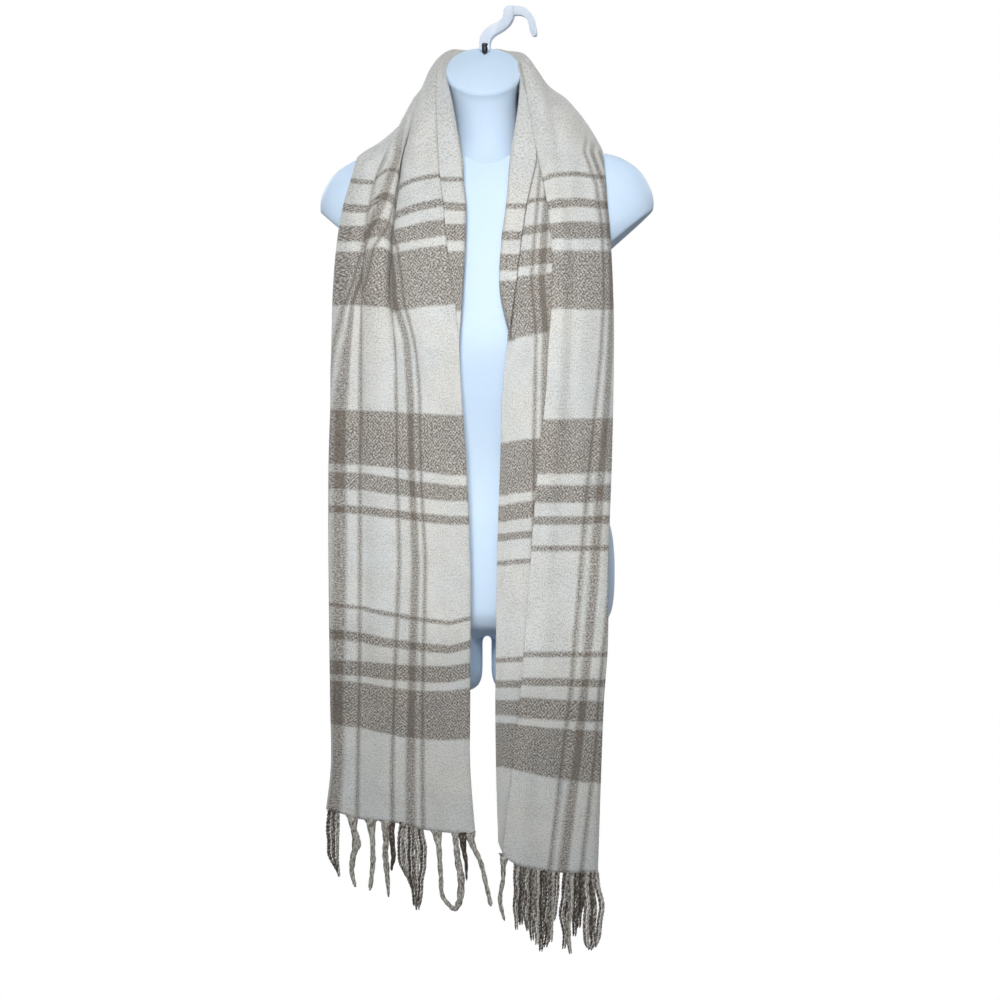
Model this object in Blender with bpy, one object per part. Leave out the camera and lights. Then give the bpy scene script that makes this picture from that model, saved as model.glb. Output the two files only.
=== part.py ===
"""A blanket scarf worn round the neck of a limbless torso form that hangs by its own hook.

Metres, +Z up, the front faces -Y. The origin is the inner top of the hook's crook, the point that the
form hangs by. The tables below are in millimetres: x from the form's middle plane, positive to the side
of the hook's crook, y with the front negative, and drop, the depth below the origin.

The scarf is one woven length folded lengthwise: an under layer against the body, a fold on the outer
side, and an over layer on top of it. Its two selvages lie near the neck.
"""

import math

import bmesh
import bpy
from mathutils import Matrix, Vector

MM = 0.001
MIDDLE_X = -38.0            # the form's middle plane, from the hook's crook
BODY_Y = -23.0              # the form's centre line, behind its chest
SEAT_GAP = 0.3              # between two pieces that touch
CLOTH_WALL = 2.0
OBJECT_NAME = "scarf_on_torso_form"

# Column positions across the cloth, from the selvage of the under layer to that of the over layer.
ACROSS = ("lapel_edge", "lapel_mid", "turn_front", "turn", "turn_back", "under_mid", "fold_under", "fold",
          "fold_over", "outer", "crease_c", "pleat", "crease_b", "front", "crease_a", "neck_edge")
OVER_COLUMNS = ACROSS[9:15]
STEPS_ACROSS = 2            # faces between two columns

# Left end: the over layer's neck edge, its three long creases and the outer fold, then the inner edge
# of the under layer behind it.
LEFT_ROWS = (
    dict(drop=175, neck=(-29, -78), a=-61, b=-102, c=-122, fold=(-157, -54), inner=-96, bulge=9, gap=6),
    dict(drop=199, neck=(-28, -84), a=-59, b=-105, c=-132, fold=(-164, -62), inner=-98, bulge=11, gap=6),
    dict(drop=226, neck=(-25, -95), a=-55, b=-109, c=-138, fold=(-171, -67), inner=-102, bulge=12, gap=6),
    dict(drop=271, neck=(-26, -110), a=-50, b=-114, c=-144, fold=(-179, -74), inner=-108, bulge=13, gap=6),
    dict(drop=331, neck=(-29, -127), a=-44, b=-117, c=-148, fold=(-184, -84), inner=-113, bulge=14, gap=6),
    dict(drop=397, neck=(-33, -139), a=-44, b=-111, c=-149, fold=(-186, -93), inner=-115, bulge=13, gap=6),
    dict(drop=463, neck=(-30, -141), a=-46, b=-107, c=-150, fold=(-188, -99), inner=-116, bulge=12, gap=6),
    dict(drop=535, neck=(-25, -140), a=-45, b=-107, c=-150, fold=(-190, -102), inner=-118, bulge=10, gap=6),
    dict(drop=655, neck=(-20, -138), a=-44, b=-106, c=-150, fold=(-190, -105), inner=-119, bulge=8, gap=6),
    dict(drop=823, neck=(-20, -135), a=-45, b=-106, c=-149, fold=(-188, -105), inner=-118, bulge=7, gap=6),
    dict(drop=1000, neck=(-12, -131), a=-42, b=-104, c=-150, fold=(-192, -103), inner=-120, bulge=6, gap=6),
)
LEFT_HEM = ((-192, 953), (-151, 965), (-108, 969), (-78, 977), (-12, 985))
LEFT_FLAT_TUCK = 10.0       # the under layer's free edge lies flat behind the fold

# Right end: the over layer from its selvage to the outer fold, and the under layer's inner edge, which
# is turned forward as a lapel near the neck.
RIGHT_ROWS = (
    dict(drop=166, neck=(60, -84), fold=(139, -56), inner=(29, -71), lapel=31, turn=1.0, bulge=6, gap=6),
    dict(drop=199, neck=(67, -93), fold=(143, -65), inner=(26, -79), lapel=28, turn=1.0, bulge=6, gap=6),
    dict(drop=226, neck=(72, -102), fold=(145, -73), inner=(24, -90), lapel=24, turn=1.0, bulge=6, gap=6),
    dict(drop=271, neck=(77, -114), fold=(148, -78), inner=(18, -103), lapel=23, turn=1.0, bulge=6, gap=6),
    dict(drop=331, neck=(78, -129), fold=(151, -87), inner=(16, -121), lapel=18, turn=1.0, bulge=6, gap=6),
    dict(drop=373, neck=(76, -136), fold=(152, -93), inner=(21, -129), lapel=9, turn=0.6, bulge=6, gap=6),
    dict(drop=397, neck=(74, -139), fold=(152, -96), inner=(24, -132), lapel=8, turn=0.0, bulge=6, gap=6),
    dict(drop=463, neck=(70, -142), fold=(151, -101), inner=(18, -135), lapel=8, turn=0.0, bulge=6, gap=6),
    dict(drop=535, neck=(62, -142), fold=(149, -105), inner=(16, -134), lapel=8, turn=0.0, bulge=6, gap=6),
    dict(drop=655, neck=(52, -140), fold=(146, -108), inner=(12, -132), lapel=8, turn=0.0, bulge=5, gap=6),
    dict(drop=823, neck=(39, -137), fold=(140, -108), inner=(10, -129), lapel=8, turn=0.0, bulge=5, gap=6),
    dict(drop=910, neck=(30, -136), fold=(137, -107), inner=(11, -128), lapel=8, turn=0.0, bulge=5, gap=6),
    dict(drop=1050, neck=(15, -134), fold=(132, -106), inner=(14, -126), lapel=8, turn=0.0, bulge=5, gap=6),
)
RIGHT_HEM = ((15, 1007), (47, 1023), (85, 1029), (132, 1029))

# Round the neck: four points down the over layer, from its neck edge over a crown and a slope to the
# fold, then the shares of that run where the creases lie, and the under layer's inner edge.
NECK_ROWS = (
    dict(at="left rise", neck=(-41, -53, 112), crown=(-71, -60, 124), slope=(-113, -56, 152),
         fold=(-158, -36, 173), a=0.78, b=0.5, c=0.34, inner=0.5, lapel=10, turn=0.0, gap=4.5, crease=0.9),
    dict(at="left ridge", neck=(-52, -20, 60), crown=(-78, -18, 82), slope=(-113, -16, 139),
         fold=(-156, -14, 172.0), a=0.84, b=0.62, c=0.48, inner=0.5, lapel=10, turn=0.0, gap=4.0, crease=0.7),
    dict(at="left back", neck=(-46, 3, 48), crown=(-72, 14, 78), slope=(-104, 19, 138),
         fold=(-138, 22, 188), a=0.84, b=0.6, c=0.42, inner=0.52, lapel=10, turn=0.0, gap=4.5, crease=0.5),
    dict(at="left nape", neck=(-26, 15, 42), crown=(-42, 24, 84), slope=(-60, 30, 141),
         fold=(-80, 35, 196), a=0.82, b=0.58, c=0.38, inner=0.56, lapel=10, turn=0.0, gap=5.0, crease=0.4),
    dict(at="nape", neck=(0, 19, 40), crown=(0, 27, 84), slope=(0, 33, 142),
         fold=(0, 38, 197), a=0.8, b=0.55, c=0.33, inner=0.62, lapel=10, turn=0.0, gap=5.0, crease=0.4),
    dict(at="right nape", neck=(28, 15, 42), crown=(42, 24, 82), slope=(57, 31, 136),
         fold=(74, 35, 189), a=0.8, b=0.55, c=0.3, inner=0.7, lapel=10, turn=0.0, gap=5.0, crease=0.4),
    dict(at="right back", neck=(46, 5, 48), crown=(69, 15, 72), slope=(95, 19, 120),
         fold=(124, 21, 174), a=0.8, b=0.55, c=0.3, inner=0.82, lapel=10, turn=0.3, gap=4.0, crease=0.4),
    dict(at="right ridge", neck=(54, -16, 56), crown=(70, -15, 74), slope=(110, -14, 118),
         fold=(140, -14, 168.4), a=0.8, b=0.55, c=0.3, inner=0.94, lapel=10, turn=0.8, gap=3.2, crease=0.4),
    dict(at="right rise", neck=(53, -52, 110), crown=(76, -60, 119), slope=(114, -54, 142),
         fold=(140, -38, 166.5), a=0.8, b=0.55, c=0.3, inner=1.16, lapel=16, turn=1.0, gap=4.0, crease=0.6),
)

# How far each column of the over layer stands out, near the neck and further down where it hangs.
LEFT_STAND = dict(outer=6, crease_c=1, pleat=9, crease_b=0, front=11, crease_a=6, neck_edge=8)
LEFT_STAND_LOW = dict(outer=3, crease_c=1, pleat=3, crease_b=1, front=4, crease_a=2, neck_edge=1)
RIGHT_STAND = dict(outer=3, crease_c=2, pleat=3, crease_b=2, front=4, crease_a=2, neck_edge=0)
CREASES_FADE = (340, 500)   # drops between which the deep creases run out

ROWS_PER_STATION = 2
NECK_REACH = 1              # stations of each hanging end that belong to the stretch round the neck
STRETCHES = ("scarf_left_end", "scarf_neck_stretch", "scarf_right_end")

# The torso form. Level rings: half width, and the y of its front and back.
TORSO_RINGS = (
    (156, 50, -36, -10), (160, 86, -42, -6), (166, 120, -48, -1), (171, 142, -53, 4), (178, 160, -59, 10),
    (190, 176, -66, 18), (205, 188, -73, 26), (219, 194, -79, 32), (231, 197, -83, 35), (245, 188, -88, 39),
    (262, 169, -93, 43), (282, 149, -99, 46), (310, 133, -107, 49), (350, 124, -118, 51), (395, 119, -124, 51),
    (440, 112, -116, 48), (490, 105, -104, 43), (540, 103, -95, 42), (585, 124, -95, 48), (625, 146, -98, 55),
    (665, 153, -101, 60), (700, 150, -101, 60), (722, 145, -99, 58), (737, 122, -88, 48), (745, 80, -66, 26),
)
# The neck, from under the chest's top to the slanted cap: y of the axis, half width, half depth, slant.
NECK_RINGS = (
    (196, -22, 46, 36, 0.0), (170, -22, 43, 38, 0.0), (150, -21, 39, 37, 4.0), (125, -21, 37.5, 37, 14.0),
    (100, -22, 39, 39, 25.0), (80, -24, 42.5, 42, 34.0), (72, -24.5, 44.5, 44.5, 36.5), (69, -25, 45, 45, 36.5),
    (66.3, -25, 44, 44, 36.5), (65.4, -25, 42, 42, 36.5),
)
# A thigh stump: x of its inner and outer side, then front and back.
THIGH_RINGS = (
    (640, 24, 128, -80, 38), (690, 7, 144, -98, 56), (718, 4, 147, -100, 58), (745, 4, 146, -99, 57),
    (775, 5, 142, -97, 54), (794, 7, 136, -93, 50), (805, 13, 127, -86, 44), (811, 26, 114, -74, 32),
)
RING_POINTS = 28
PIN_BOSS_RADIUS = 6.5
PIN_BOSS_TOP = 41.5         # drop of the boss on the neck cap that carries the hook's pin

# The hook is a flat band. The middle of its band, from the fork over the stem to the tip of the crook,
# in x and height from the origin.
HOOK_PATH = ((-40.8, -32), (-41.2, -24), (-38.4, -16.5), (-31.5, -11.2), (-23, -7.2), (-16.2, -2.2),
             (-12.6, 3.4), (-6, 6.2), (2.5, 6), (10.5, 2), (15, -6), (17.5, -15), (19.2, -22))
HOOK_BAND = 11.6
HOOK_THICKNESS = 5.0
FORK_DROP = 40.5
FORK_SLOT = 8.6
FORK_WIDTH = 13.8
FORK_ROOT = 33.0
PIN_RADIUS = 3.4

# Fringe ropes: the share of the layer where the rope hangs, how far its middle and tip sway in x, its
# length and its width. Ropes on the over layer hang in front of those on the under layer.
STRIP_HEIGHT = 4.0
LEFT_ROPES = (
    dict(layer="over", share=0.035, sway=(1, 9), length=78, width=9),
    dict(layer="over", share=0.16, sway=(-2, 4), length=82, width=7),
    dict(layer="over", share=0.28, sway=(2, -3), length=80, width=7),
    dict(layer="over", share=0.39, sway=(0, -1), length=88, width=7.5),
    dict(layer="over", share=0.49, sway=(1, 6), length=80, width=7),
    dict(layer="over", share=0.55, sway=(1, 4), length=100, width=7.5),
    dict(layer="over", share=0.61, sway=(2, 2), length=86, width=7),
    dict(layer="over", share=0.73, sway=(3, 8), length=98, width=7),
    dict(layer="over", share=0.86, sway=(2, 2), length=76, width=8),
    dict(layer="over", share=0.97, sway=(8, 22), length=88, width=7),
    dict(layer="under", share=0.12, sway=(3, 12), length=60, width=6),
    dict(layer="under", share=0.38, sway=(4, 2), length=66, width=6),
    dict(layer="under", share=0.62, sway=(3, 5), length=62, width=6),
    dict(layer="under", share=0.86, sway=(2, 3), length=70, width=6),
)
RIGHT_ROPES = (
    dict(layer="over", share=0.06, sway=(0, -7), length=84, width=6.5),
    dict(layer="over", share=0.16, sway=(0, -6), length=92, width=6.5),
    dict(layer="over", share=0.27, sway=(0, -5), length=66, width=6.5),
    dict(layer="over", share=0.38, sway=(0, -5), length=92, width=6.5),
    dict(layer="over", share=0.50, sway=(0, -3), length=78, width=6.5),
    dict(layer="over", share=0.61, sway=(0, -1), length=98, width=6.5),
    dict(layer="over", share=0.72, sway=(0, -2), length=92, width=6.5),
    dict(layer="over", share=0.82, sway=(0, -3), length=76, width=6.5),
    dict(layer="over", share=0.91, sway=(0, -3), length=62, width=6.5),
    dict(layer="under", share=0.06, sway=(-2, 1), length=86, width=6),
    dict(layer="under", share=0.24, sway=(0, -4), length=88, width=6),
    dict(layer="under", share=0.42, sway=(0, -4), length=94, width=6),
    dict(layer="under", share=0.58, sway=(0, -2), length=80, width=6),
    dict(layer="under", share=0.74, sway=(0, 0), length=68, width=6),
    dict(layer="under", share=0.90, sway=(0, 2), length=74, width=6),
)
ROPE_RINGS = 5

COLOURS = dict(
    cloth=((0.62, 0.6, 0.55, 1.0), 0.95, 0.0),
    rope=((0.42, 0.38, 0.33, 1.0), 0.95, 0.0),
    plastic=((0.66, 0.78, 0.92, 1.0), 0.4, 0.0),
    metal=((0.06, 0.06, 0.07, 1.0), 0.4, 1.0),
)


# ---- helpers ----

def place(x, y, drop):
    """A point of the tables, in metres from the origin."""
    return Vector(((MIDDLE_X + x) * MM, y * MM, -drop * MM))


def material(name):
    colour, roughness, metallic = COLOURS[name]
    made = bpy.data.materials.get(name) or bpy.data.materials.new(name)
    made.use_nodes = True
    shader = made.node_tree.nodes["Principled BSDF"]
    shader.inputs["Base Color"].default_value = colour
    shader.inputs["Roughness"].default_value = roughness
    shader.inputs["Metallic"].default_value = metallic
    return made


def add_object(name, mesh, finish, collection):
    made = bpy.data.objects.new(name, mesh)
    collection.objects.link(made)
    if finish:
        mesh.materials.append(material(finish))
    return made


def spline_point(points, position):
    """The point at a position (0 to the count less 1) of a centripetal curve through the points."""
    last = len(points) - 1
    index = min(int(position), last - 1)
    start, end = points[index], points[index + 1]
    before = points[index - 1] if index > 0 else 2 * start - end
    after = points[index + 2] if index + 2 <= last else 2 * end - start
    four = (before, start, end, after)
    knots = [0.0]
    for first, second in zip(four, four[1:]):
        knots.append(knots[-1] + math.sqrt(max((second - first).length, MM * 0.01)))
    at = knots[1] + (knots[2] - knots[1]) * (position - index)

    def mix(first, second, low, high):
        return first + (second - first) * ((at - low) / (high - low))

    one, two, three = (mix(four[k], four[k + 1], knots[k], knots[k + 1]) for k in range(3))
    left, right = mix(one, two, knots[0], knots[2]), mix(two, three, knots[1], knots[3])
    return mix(left, right, knots[1], knots[2])


def between(table, value):
    """Straight-line look up in ((key, result), ...) whose keys rise."""
    for (low, first), (high, second) in zip(table, table[1:]):
        if value <= high:
            share = min(max((value - low) / (high - low), 0.0), 1.0)
            return first + (second - first) * share
    return table[-1][1]


def loft(bm, rings, closed_ends=True):
    """Skin a list of equal closed rings of points, first ring to last."""
    made = [[bm.verts.new(point) for point in ring] for ring in rings]
    count = len(made[0])
    for lower, upper in zip(made, made[1:]):
        for i in range(count):
            j = (i + 1) % count
            bm.faces.new((lower[i], lower[j], upper[j], upper[i]))
    if closed_ends:
        bm.faces.new(list(reversed(made[0])))
        bm.faces.new(made[-1])
    bmesh.ops.recalc_face_normals(bm, faces=bm.faces)


def mesh_from(bm, name, smooth=True):
    mesh = bpy.data.meshes.new(name)
    bm.to_mesh(mesh)
    bm.free()
    if smooth:
        mesh.shade_smooth()
        mesh.set_sharp_from_angle(angle=math.radians(50))
    return mesh


def unite(target, cutter, cutters, own_overlaps=False):
    """Join a cutter to the target for good; the cutter stays hidden as a guide."""
    cutter.display_type = "WIRE"
    cutter.hide_render = True
    join = target.modifiers.new("join_" + cutter.name, "BOOLEAN")
    join.operation = "UNION"
    join.use_self = own_overlaps
    join.object = cutter
    cutters.objects.link(cutter)
    for owner in list(cutter.users_collection):
        if owner is not cutters:
            owner.objects.unlink(cutter)


# ---- the torso form ----

def torso_ring(drop, half_width, front, back):
    ring = []
    for i in range(RING_POINTS):
        angle = 2 * math.pi * i / RING_POINTS
        depth = (back if math.sin(angle) > 0 else -front + 2 * BODY_Y) - BODY_Y
        ring.append(place(half_width * math.cos(angle), BODY_Y + depth * math.sin(angle), drop))
    return ring


def neck_ring(drop, axis_y, half_width, half_depth, slant):
    tilt = math.radians(slant)
    ring = []
    for i in range(RING_POINTS):
        angle = 2 * math.pi * i / RING_POINTS
        along = half_depth * math.sin(angle)
        ring.append(place(half_width * math.cos(angle), axis_y + along * math.cos(tilt),
                          drop - along * math.sin(tilt)))
    return ring


def thigh_ring(side, drop, inner, outer, front, back):
    middle_x, middle_y = (inner + outer) / 2, (front + back) / 2
    ring = []
    for i in range(RING_POINTS):
        angle = 2 * math.pi * i / RING_POINTS
        ring.append(place(side * (middle_x + (outer - inner) / 2 * math.cos(angle)),
                          middle_y + (back - front) / 2 * math.sin(angle), drop))
    return ring


def lofted(name, rings, collection):
    bm = bmesh.new()
    loft(bm, rings)
    return add_object(name, mesh_from(bm, name), "plastic", collection)


def build_torso(parts, cutters):
    torso = lofted("torso_form", [torso_ring(*row) for row in TORSO_RINGS], parts)
    unite(torso, lofted("neck_guide", [neck_ring(*row) for row in NECK_RINGS], parts), cutters)
    for name, side in (("left", -1), ("right", 1)):
        rings = [thigh_ring(side, *row) for row in THIGH_RINGS]
        unite(torso, lofted(name + "_thigh_guide", rings, parts), cutters)
    bm = bmesh.new()
    height = 20.0
    bmesh.ops.create_cone(bm, cap_ends=True, segments=24, radius1=PIN_BOSS_RADIUS * MM,
                          radius2=PIN_BOSS_RADIUS * MM, depth=height * MM)
    centre = Vector((HOOK_PATH[0][0] * MM, 0.0, -(PIN_BOSS_TOP + height / 2) * MM))
    bmesh.ops.translate(bm, verts=bm.verts, vec=centre)
    unite(torso, add_object("boss_guide", mesh_from(bm, "boss_guide"), "plastic", parts), cutters)
    return torso


# ---- the hook and its pin ----

def hook_outline():
    """The band's two edges, offset from its middle, with a round tip and a fork at the foot."""
    path = [Vector(point) for point in HOOK_PATH]
    steps = 4 * (len(path) - 1)
    left, right = [], []
    for i in range(steps + 1):
        position = i * (len(path) - 1) / steps
        here = spline_point(path, position)
        ahead = spline_point(path, min(position + 0.05, len(path) - 1))
        behind = spline_point(path, max(position - 0.05, 0.0))
        run = (ahead - behind).normalized()
        side = Vector((-run.y, run.x)) * HOOK_BAND / 2
        left.append(here + side)
        right.append(here - side)
    tip = spline_point(path, len(path) - 1)
    start = left[-1] - tip
    cap = [tip + Matrix.Rotation(-math.pi * k / 8, 2) @ start for k in range(1, 8)]
    foot = HOOK_PATH[0][0]
    fork = [(foot + FORK_WIDTH / 2, -FORK_ROOT), (foot + FORK_WIDTH / 2, -FORK_DROP),
            (foot + FORK_SLOT / 2, -FORK_DROP), (foot + FORK_SLOT / 2, -FORK_ROOT),
            (foot - FORK_SLOT / 2, -FORK_ROOT), (foot - FORK_SLOT / 2, -FORK_DROP),
            (foot - FORK_WIDTH / 2, -FORK_DROP), (foot - FORK_WIDTH / 2, -FORK_ROOT)]
    return left + cap + list(reversed(right)) + [Vector(point) for point in fork]


def build_hook(parts):
    curve = bpy.data.curves.new("hanger_hook", "CURVE")
    curve.dimensions = "2D"
    curve.fill_mode = "BOTH"
    curve.extrude = HOOK_THICKNESS / 2 * MM
    outline = hook_outline()
    spline = curve.splines.new("POLY")
    spline.points.add(len(outline) - 1)
    for point, flat in zip(spline.points, outline):
        point.co = (flat.x * MM, flat.y * MM, 0.0, 1.0)
    spline.use_cyclic_u = True
    hook = add_object("hanger_hook", curve, "plastic", parts)
    hook.rotation_euler = (math.pi / 2, 0.0, 0.0)

    top, bottom = FORK_ROOT + SEAT_GAP, PIN_BOSS_TOP - SEAT_GAP
    bm = bmesh.new()
    bmesh.ops.create_cone(bm, cap_ends=True, segments=20, radius1=PIN_RADIUS * MM,
                          radius2=PIN_RADIUS * MM, depth=(bottom - top) * MM)
    pin = add_object("hook_pin", mesh_from(bm, "hook_pin"), "metal", parts)
    pin.location = (HOOK_PATH[0][0] * MM, 0.0, -(top + bottom) / 2 * MM)


# ---- the scarf ----

def drop_fade(drop):
    low, high = CREASES_FADE
    return 1.0 - min(max((drop - low) / (high - low), 0.0), 1.0)


def cloth_columns(over, shares, stand, out, gap, inner, lapel, turn, under_share):
    """One section of the folded cloth as a dict of its columns.

    over(share) gives the over layer's own line, 0 at the fold and 1 at its neck edge; out points away
    from the body; inner is where the under layer turns.
    """
    fold, neck = over(0.0), over(1.0)
    radius = gap / 2 * MM
    inward = (over(0.2) - fold).normalized()
    fold_out = (out - inward * out.dot(inward)).normalized()
    section = dict(neck_edge=neck + out * stand["neck_edge"] * MM)
    for name, share in zip(OVER_COLUMNS, shares):
        section[name] = over(share) + out * stand[name] * MM
    section["fold_over"] = fold + inward * radius
    section["fold"] = fold - fold_out * radius
    section["fold_under"] = fold + inward * radius - fold_out * 2 * radius
    section["under_mid"] = over(under_share) - out * 2 * radius
    along = (inner - section["under_mid"]).normalized()
    section["turn_back"] = inner - along * radius
    section["turn"] = inner + out * turn * radius
    angle = math.pi * turn
    for name, width in (("turn_front", min(radius, 0.3 * lapel * MM)), ("lapel_mid", 0.6 * lapel * MM),
                        ("lapel_edge", lapel * MM)):
        section[name] = (inner + along * width * math.cos(angle)
                         + out * (width * math.sin(angle) + turn * 2 * radius))
    return section


def end_section(side, row, hem=None):
    """A section of a hanging end, level but for the hem, whose drop follows the hem's own line."""
    drop, out = row["drop"], Vector((0.0, -1.0, 0.0))
    neck = place(*row["neck"], drop)
    fold = place(*row["fold"], drop)

    def over(share):
        return fold.lerp(neck, share) + out * 4 * row["bulge"] * share * (1 - share) * MM

    span = row["neck"][0] - row["fold"][0]
    if side == "left":
        fade = drop_fade(drop)
        stand = {name: LEFT_STAND_LOW[name] + (LEFT_STAND[name] - LEFT_STAND_LOW[name]) * fade
                 for name in LEFT_STAND}
        a, b, c = ((row[key] - row["fold"][0]) / span for key in "abc")
        shares = (c * 0.5, c, (c + b) / 2, b, (a + b) / 2, a)
        reach = (row["inner"] - LEFT_FLAT_TUCK - row["fold"][0]) / span
        inner = over(reach) - out * row["gap"] * MM
        lapel, turn, under_share = LEFT_FLAT_TUCK, 0.0, reach * 0.5
    else:
        stand = RIGHT_STAND
        shares = (0.17, 0.34, 0.5, 0.66, 0.82, 0.93)
        lapel, turn, under_share = row["lapel"], row["turn"], 0.6
        x, y = row["inner"]
        inner = place(x + lapel * (1 - turn), y, drop)
    section = cloth_columns(over, shares, stand, out, row["gap"], inner, lapel, turn, under_share)
    if hem:
        for point in section.values():
            point.z = -between(hem, point.x / MM - MIDDLE_X) * MM
    return section


def neck_section(row, along):
    points = [place(*row[key]) for key in ("fold", "slope", "crown", "neck")]

    def over(share):
        if share > 1.0:
            return points[-1] + (share - 1.0) * 3 * (points[-1] - points[-2])
        return spline_point(points, share * 3)

    middle = over(0.5)
    out = along.cross(points[-1] - points[0]).normalized()
    if out.dot(middle - place(0, BODY_Y, row["slope"][2] + 60)) < 0:
        out.negate()
    stand = {name: LEFT_STAND[name] * row["crease"] for name in LEFT_STAND}
    stand["neck_edge"] = 0.0
    a, b, c = row["a"], row["b"], row["c"]
    shares = (c * 0.5, c, (c + b) / 2, b, (a + b) / 2, a)
    layers = 1.0 + row["turn"]
    inner = over(row["inner"]) - out * row["gap"] * layers * MM
    return cloth_columns(over, shares, stand, out, row["gap"], inner, row["lapel"], row["turn"],
                         min(row["inner"] * 0.5, 0.55))


def row_at(rows, drop):
    """A row of a table of hanging sections at any drop, each size in a straight line between two rows."""
    for low, high in zip(rows, rows[1:]):
        if drop <= high["drop"]:
            share = (drop - low["drop"]) / (high["drop"] - low["drop"])
            mixed = {}
            for key, first in low.items():
                if isinstance(first, tuple):
                    mixed[key] = tuple(p + (q - p) * share for p, q in zip(first, high[key]))
                else:
                    mixed[key] = first + (high[key] - first) * share
            return mixed
    return rows[-1]


def scarf_sections():
    """Every station of the scarf, from the left hem round the neck to the right hem."""
    left_hem = end_section("left", row_at(LEFT_ROWS, 970), LEFT_HEM)
    left = [left_hem] + [end_section("left", row) for row in reversed(LEFT_ROWS[:-1])]
    right_hem = end_section("right", row_at(RIGHT_ROWS, 1020), RIGHT_HEM)
    right = [end_section("right", row) for row in RIGHT_ROWS[:-1]] + [right_hem]
    middles = [left[-1]["pleat"]]
    middles += [(place(*row["neck"]) + place(*row["fold"])) / 2 for row in NECK_ROWS]
    middles.append(right[0]["pleat"])
    neck = [neck_section(row, middles[i + 2] - middles[i]) for i, row in enumerate(NECK_ROWS)]
    return left, neck, right


def smooth_across(section):
    columns = [section[name] for name in ACROSS]
    count = STEPS_ACROSS * (len(columns) - 1)
    return [spline_point(columns, i / STEPS_ACROSS) for i in range(count + 1)]


def along_rows(stations, start, end, rows_per_station):
    """Rows of points from station start to station end, each column a smooth curve through them all."""
    count = (end - start) * rows_per_station
    grid = []
    for i in range(count + 1):
        position = start + i / rows_per_station
        grid.append([spline_point(column, position) for column in zip(*stations)])
    return grid


def sheet_normals(grid):
    """The direction square to the sheet at each point, from its neighbours along and across."""
    normals = []
    for i, row in enumerate(grid):
        before, after = grid[max(i - 1, 0)], grid[min(i + 1, len(grid) - 1)]
        normals.append([])
        for k in range(len(row)):
            across = row[min(k + 1, len(row) - 1)] - row[max(k - 1, 0)]
            normals[-1].append((after[k] - before[k]).cross(across).normalized())
    return normals


def wall_object(name, grid, normals, finish, collection):
    """A cloth wall: the two faces of the sheet, half the wall to each side, closed round its edge."""
    bm = bmesh.new()
    half = CLOTH_WALL / 2 * MM
    sides = []
    for sign in (1, -1):
        sides.append([[bm.verts.new(point + normal * half * sign) for point, normal in zip(*rows)]
                      for rows in zip(grid, normals)])
    front, back = sides
    last_row, last = len(grid) - 1, len(grid[0]) - 1
    for i in range(last_row):
        for k in range(last):
            bm.faces.new((front[i][k], front[i][k + 1], front[i + 1][k + 1], front[i + 1][k]))
            bm.faces.new((back[i][k], back[i + 1][k], back[i + 1][k + 1], back[i][k + 1]))
    for i in (0, last_row):
        for k in range(last):
            bm.faces.new((front[i][k], front[i][k + 1], back[i][k + 1], back[i][k]))
    for k in (0, last):
        for i in range(last_row):
            bm.faces.new((front[i][k], front[i + 1][k], back[i + 1][k], back[i][k]))
    bmesh.ops.recalc_face_normals(bm, faces=bm.faces)
    return add_object(name, mesh_from(bm, name), finish, collection)


def draw_back(grid, edge, inner):
    """Move an end row back from the seam by half its gap, along the cloth."""
    grid[edge] = [point + (near - point).normalized() * SEAT_GAP / 2 * MM
                  for point, near in zip(grid[edge], grid[inner])]


def build_scarf(parts):
    left, neck, right = scarf_sections()
    stations = [smooth_across(section) for section in left + neck + right]
    grid = along_rows(stations, 0, len(stations) - 1, ROWS_PER_STATION)
    normals = sheet_normals(grid)
    first_seam = (len(left) - 1 - NECK_REACH) * ROWS_PER_STATION
    last_seam = (len(left) + len(neck) + NECK_REACH) * ROWS_PER_STATION
    seams = (0, first_seam, last_seam, len(grid) - 1)
    for name, start, end in zip(STRETCHES, seams, seams[1:]):
        rows = grid[start:end + 1]
        if start > 0:
            draw_back(rows, 0, 1)
        if end < seams[-1]:
            draw_back(rows, -1, -2)
        wall_object(name, rows, normals[start:end + 1], "cloth", parts)
    return left[0], right[-1]


# ---- the fringe ----

def layer_point(section, layer, share):
    """A point on the hem: over runs from the fold to the neck edge (or back), under behind it."""
    if layer == "over":
        columns = [section[name] for name in ACROSS[8:]]
    else:
        columns = [section[name] for name in ACROSS[3:7]]
    if columns[0].x > columns[-1].x:
        columns.reverse()
    return spline_point(columns, share * (len(columns) - 1))


def rope_rings(root, rope):
    """Four-sided rings from just inside the strip down to the rope's tip, swaying and tapering."""
    rings = []
    for k in range(ROPE_RINGS + 1):
        share = k / ROPE_RINGS
        middle, tip = rope["sway"]
        sway = (4 * share * (1 - share) * (middle - tip / 4) + tip * share) * MM
        half = rope["width"] / 2 * (0.82 + 0.36 * math.sin(math.pi * share)) * (1 - 0.45 * share ** 3) * MM
        centre = root + Vector((sway, 0.0, -rope["length"] * share * MM))
        deep = min(half, 2.4 * MM)
        ring = []
        for x, y in ((half, 0), (0, deep), (-half, 0), (0, -deep)):
            ring.append(centre + Vector((x, y, 0.0)))
        rings.append(ring)
    return rings


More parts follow.
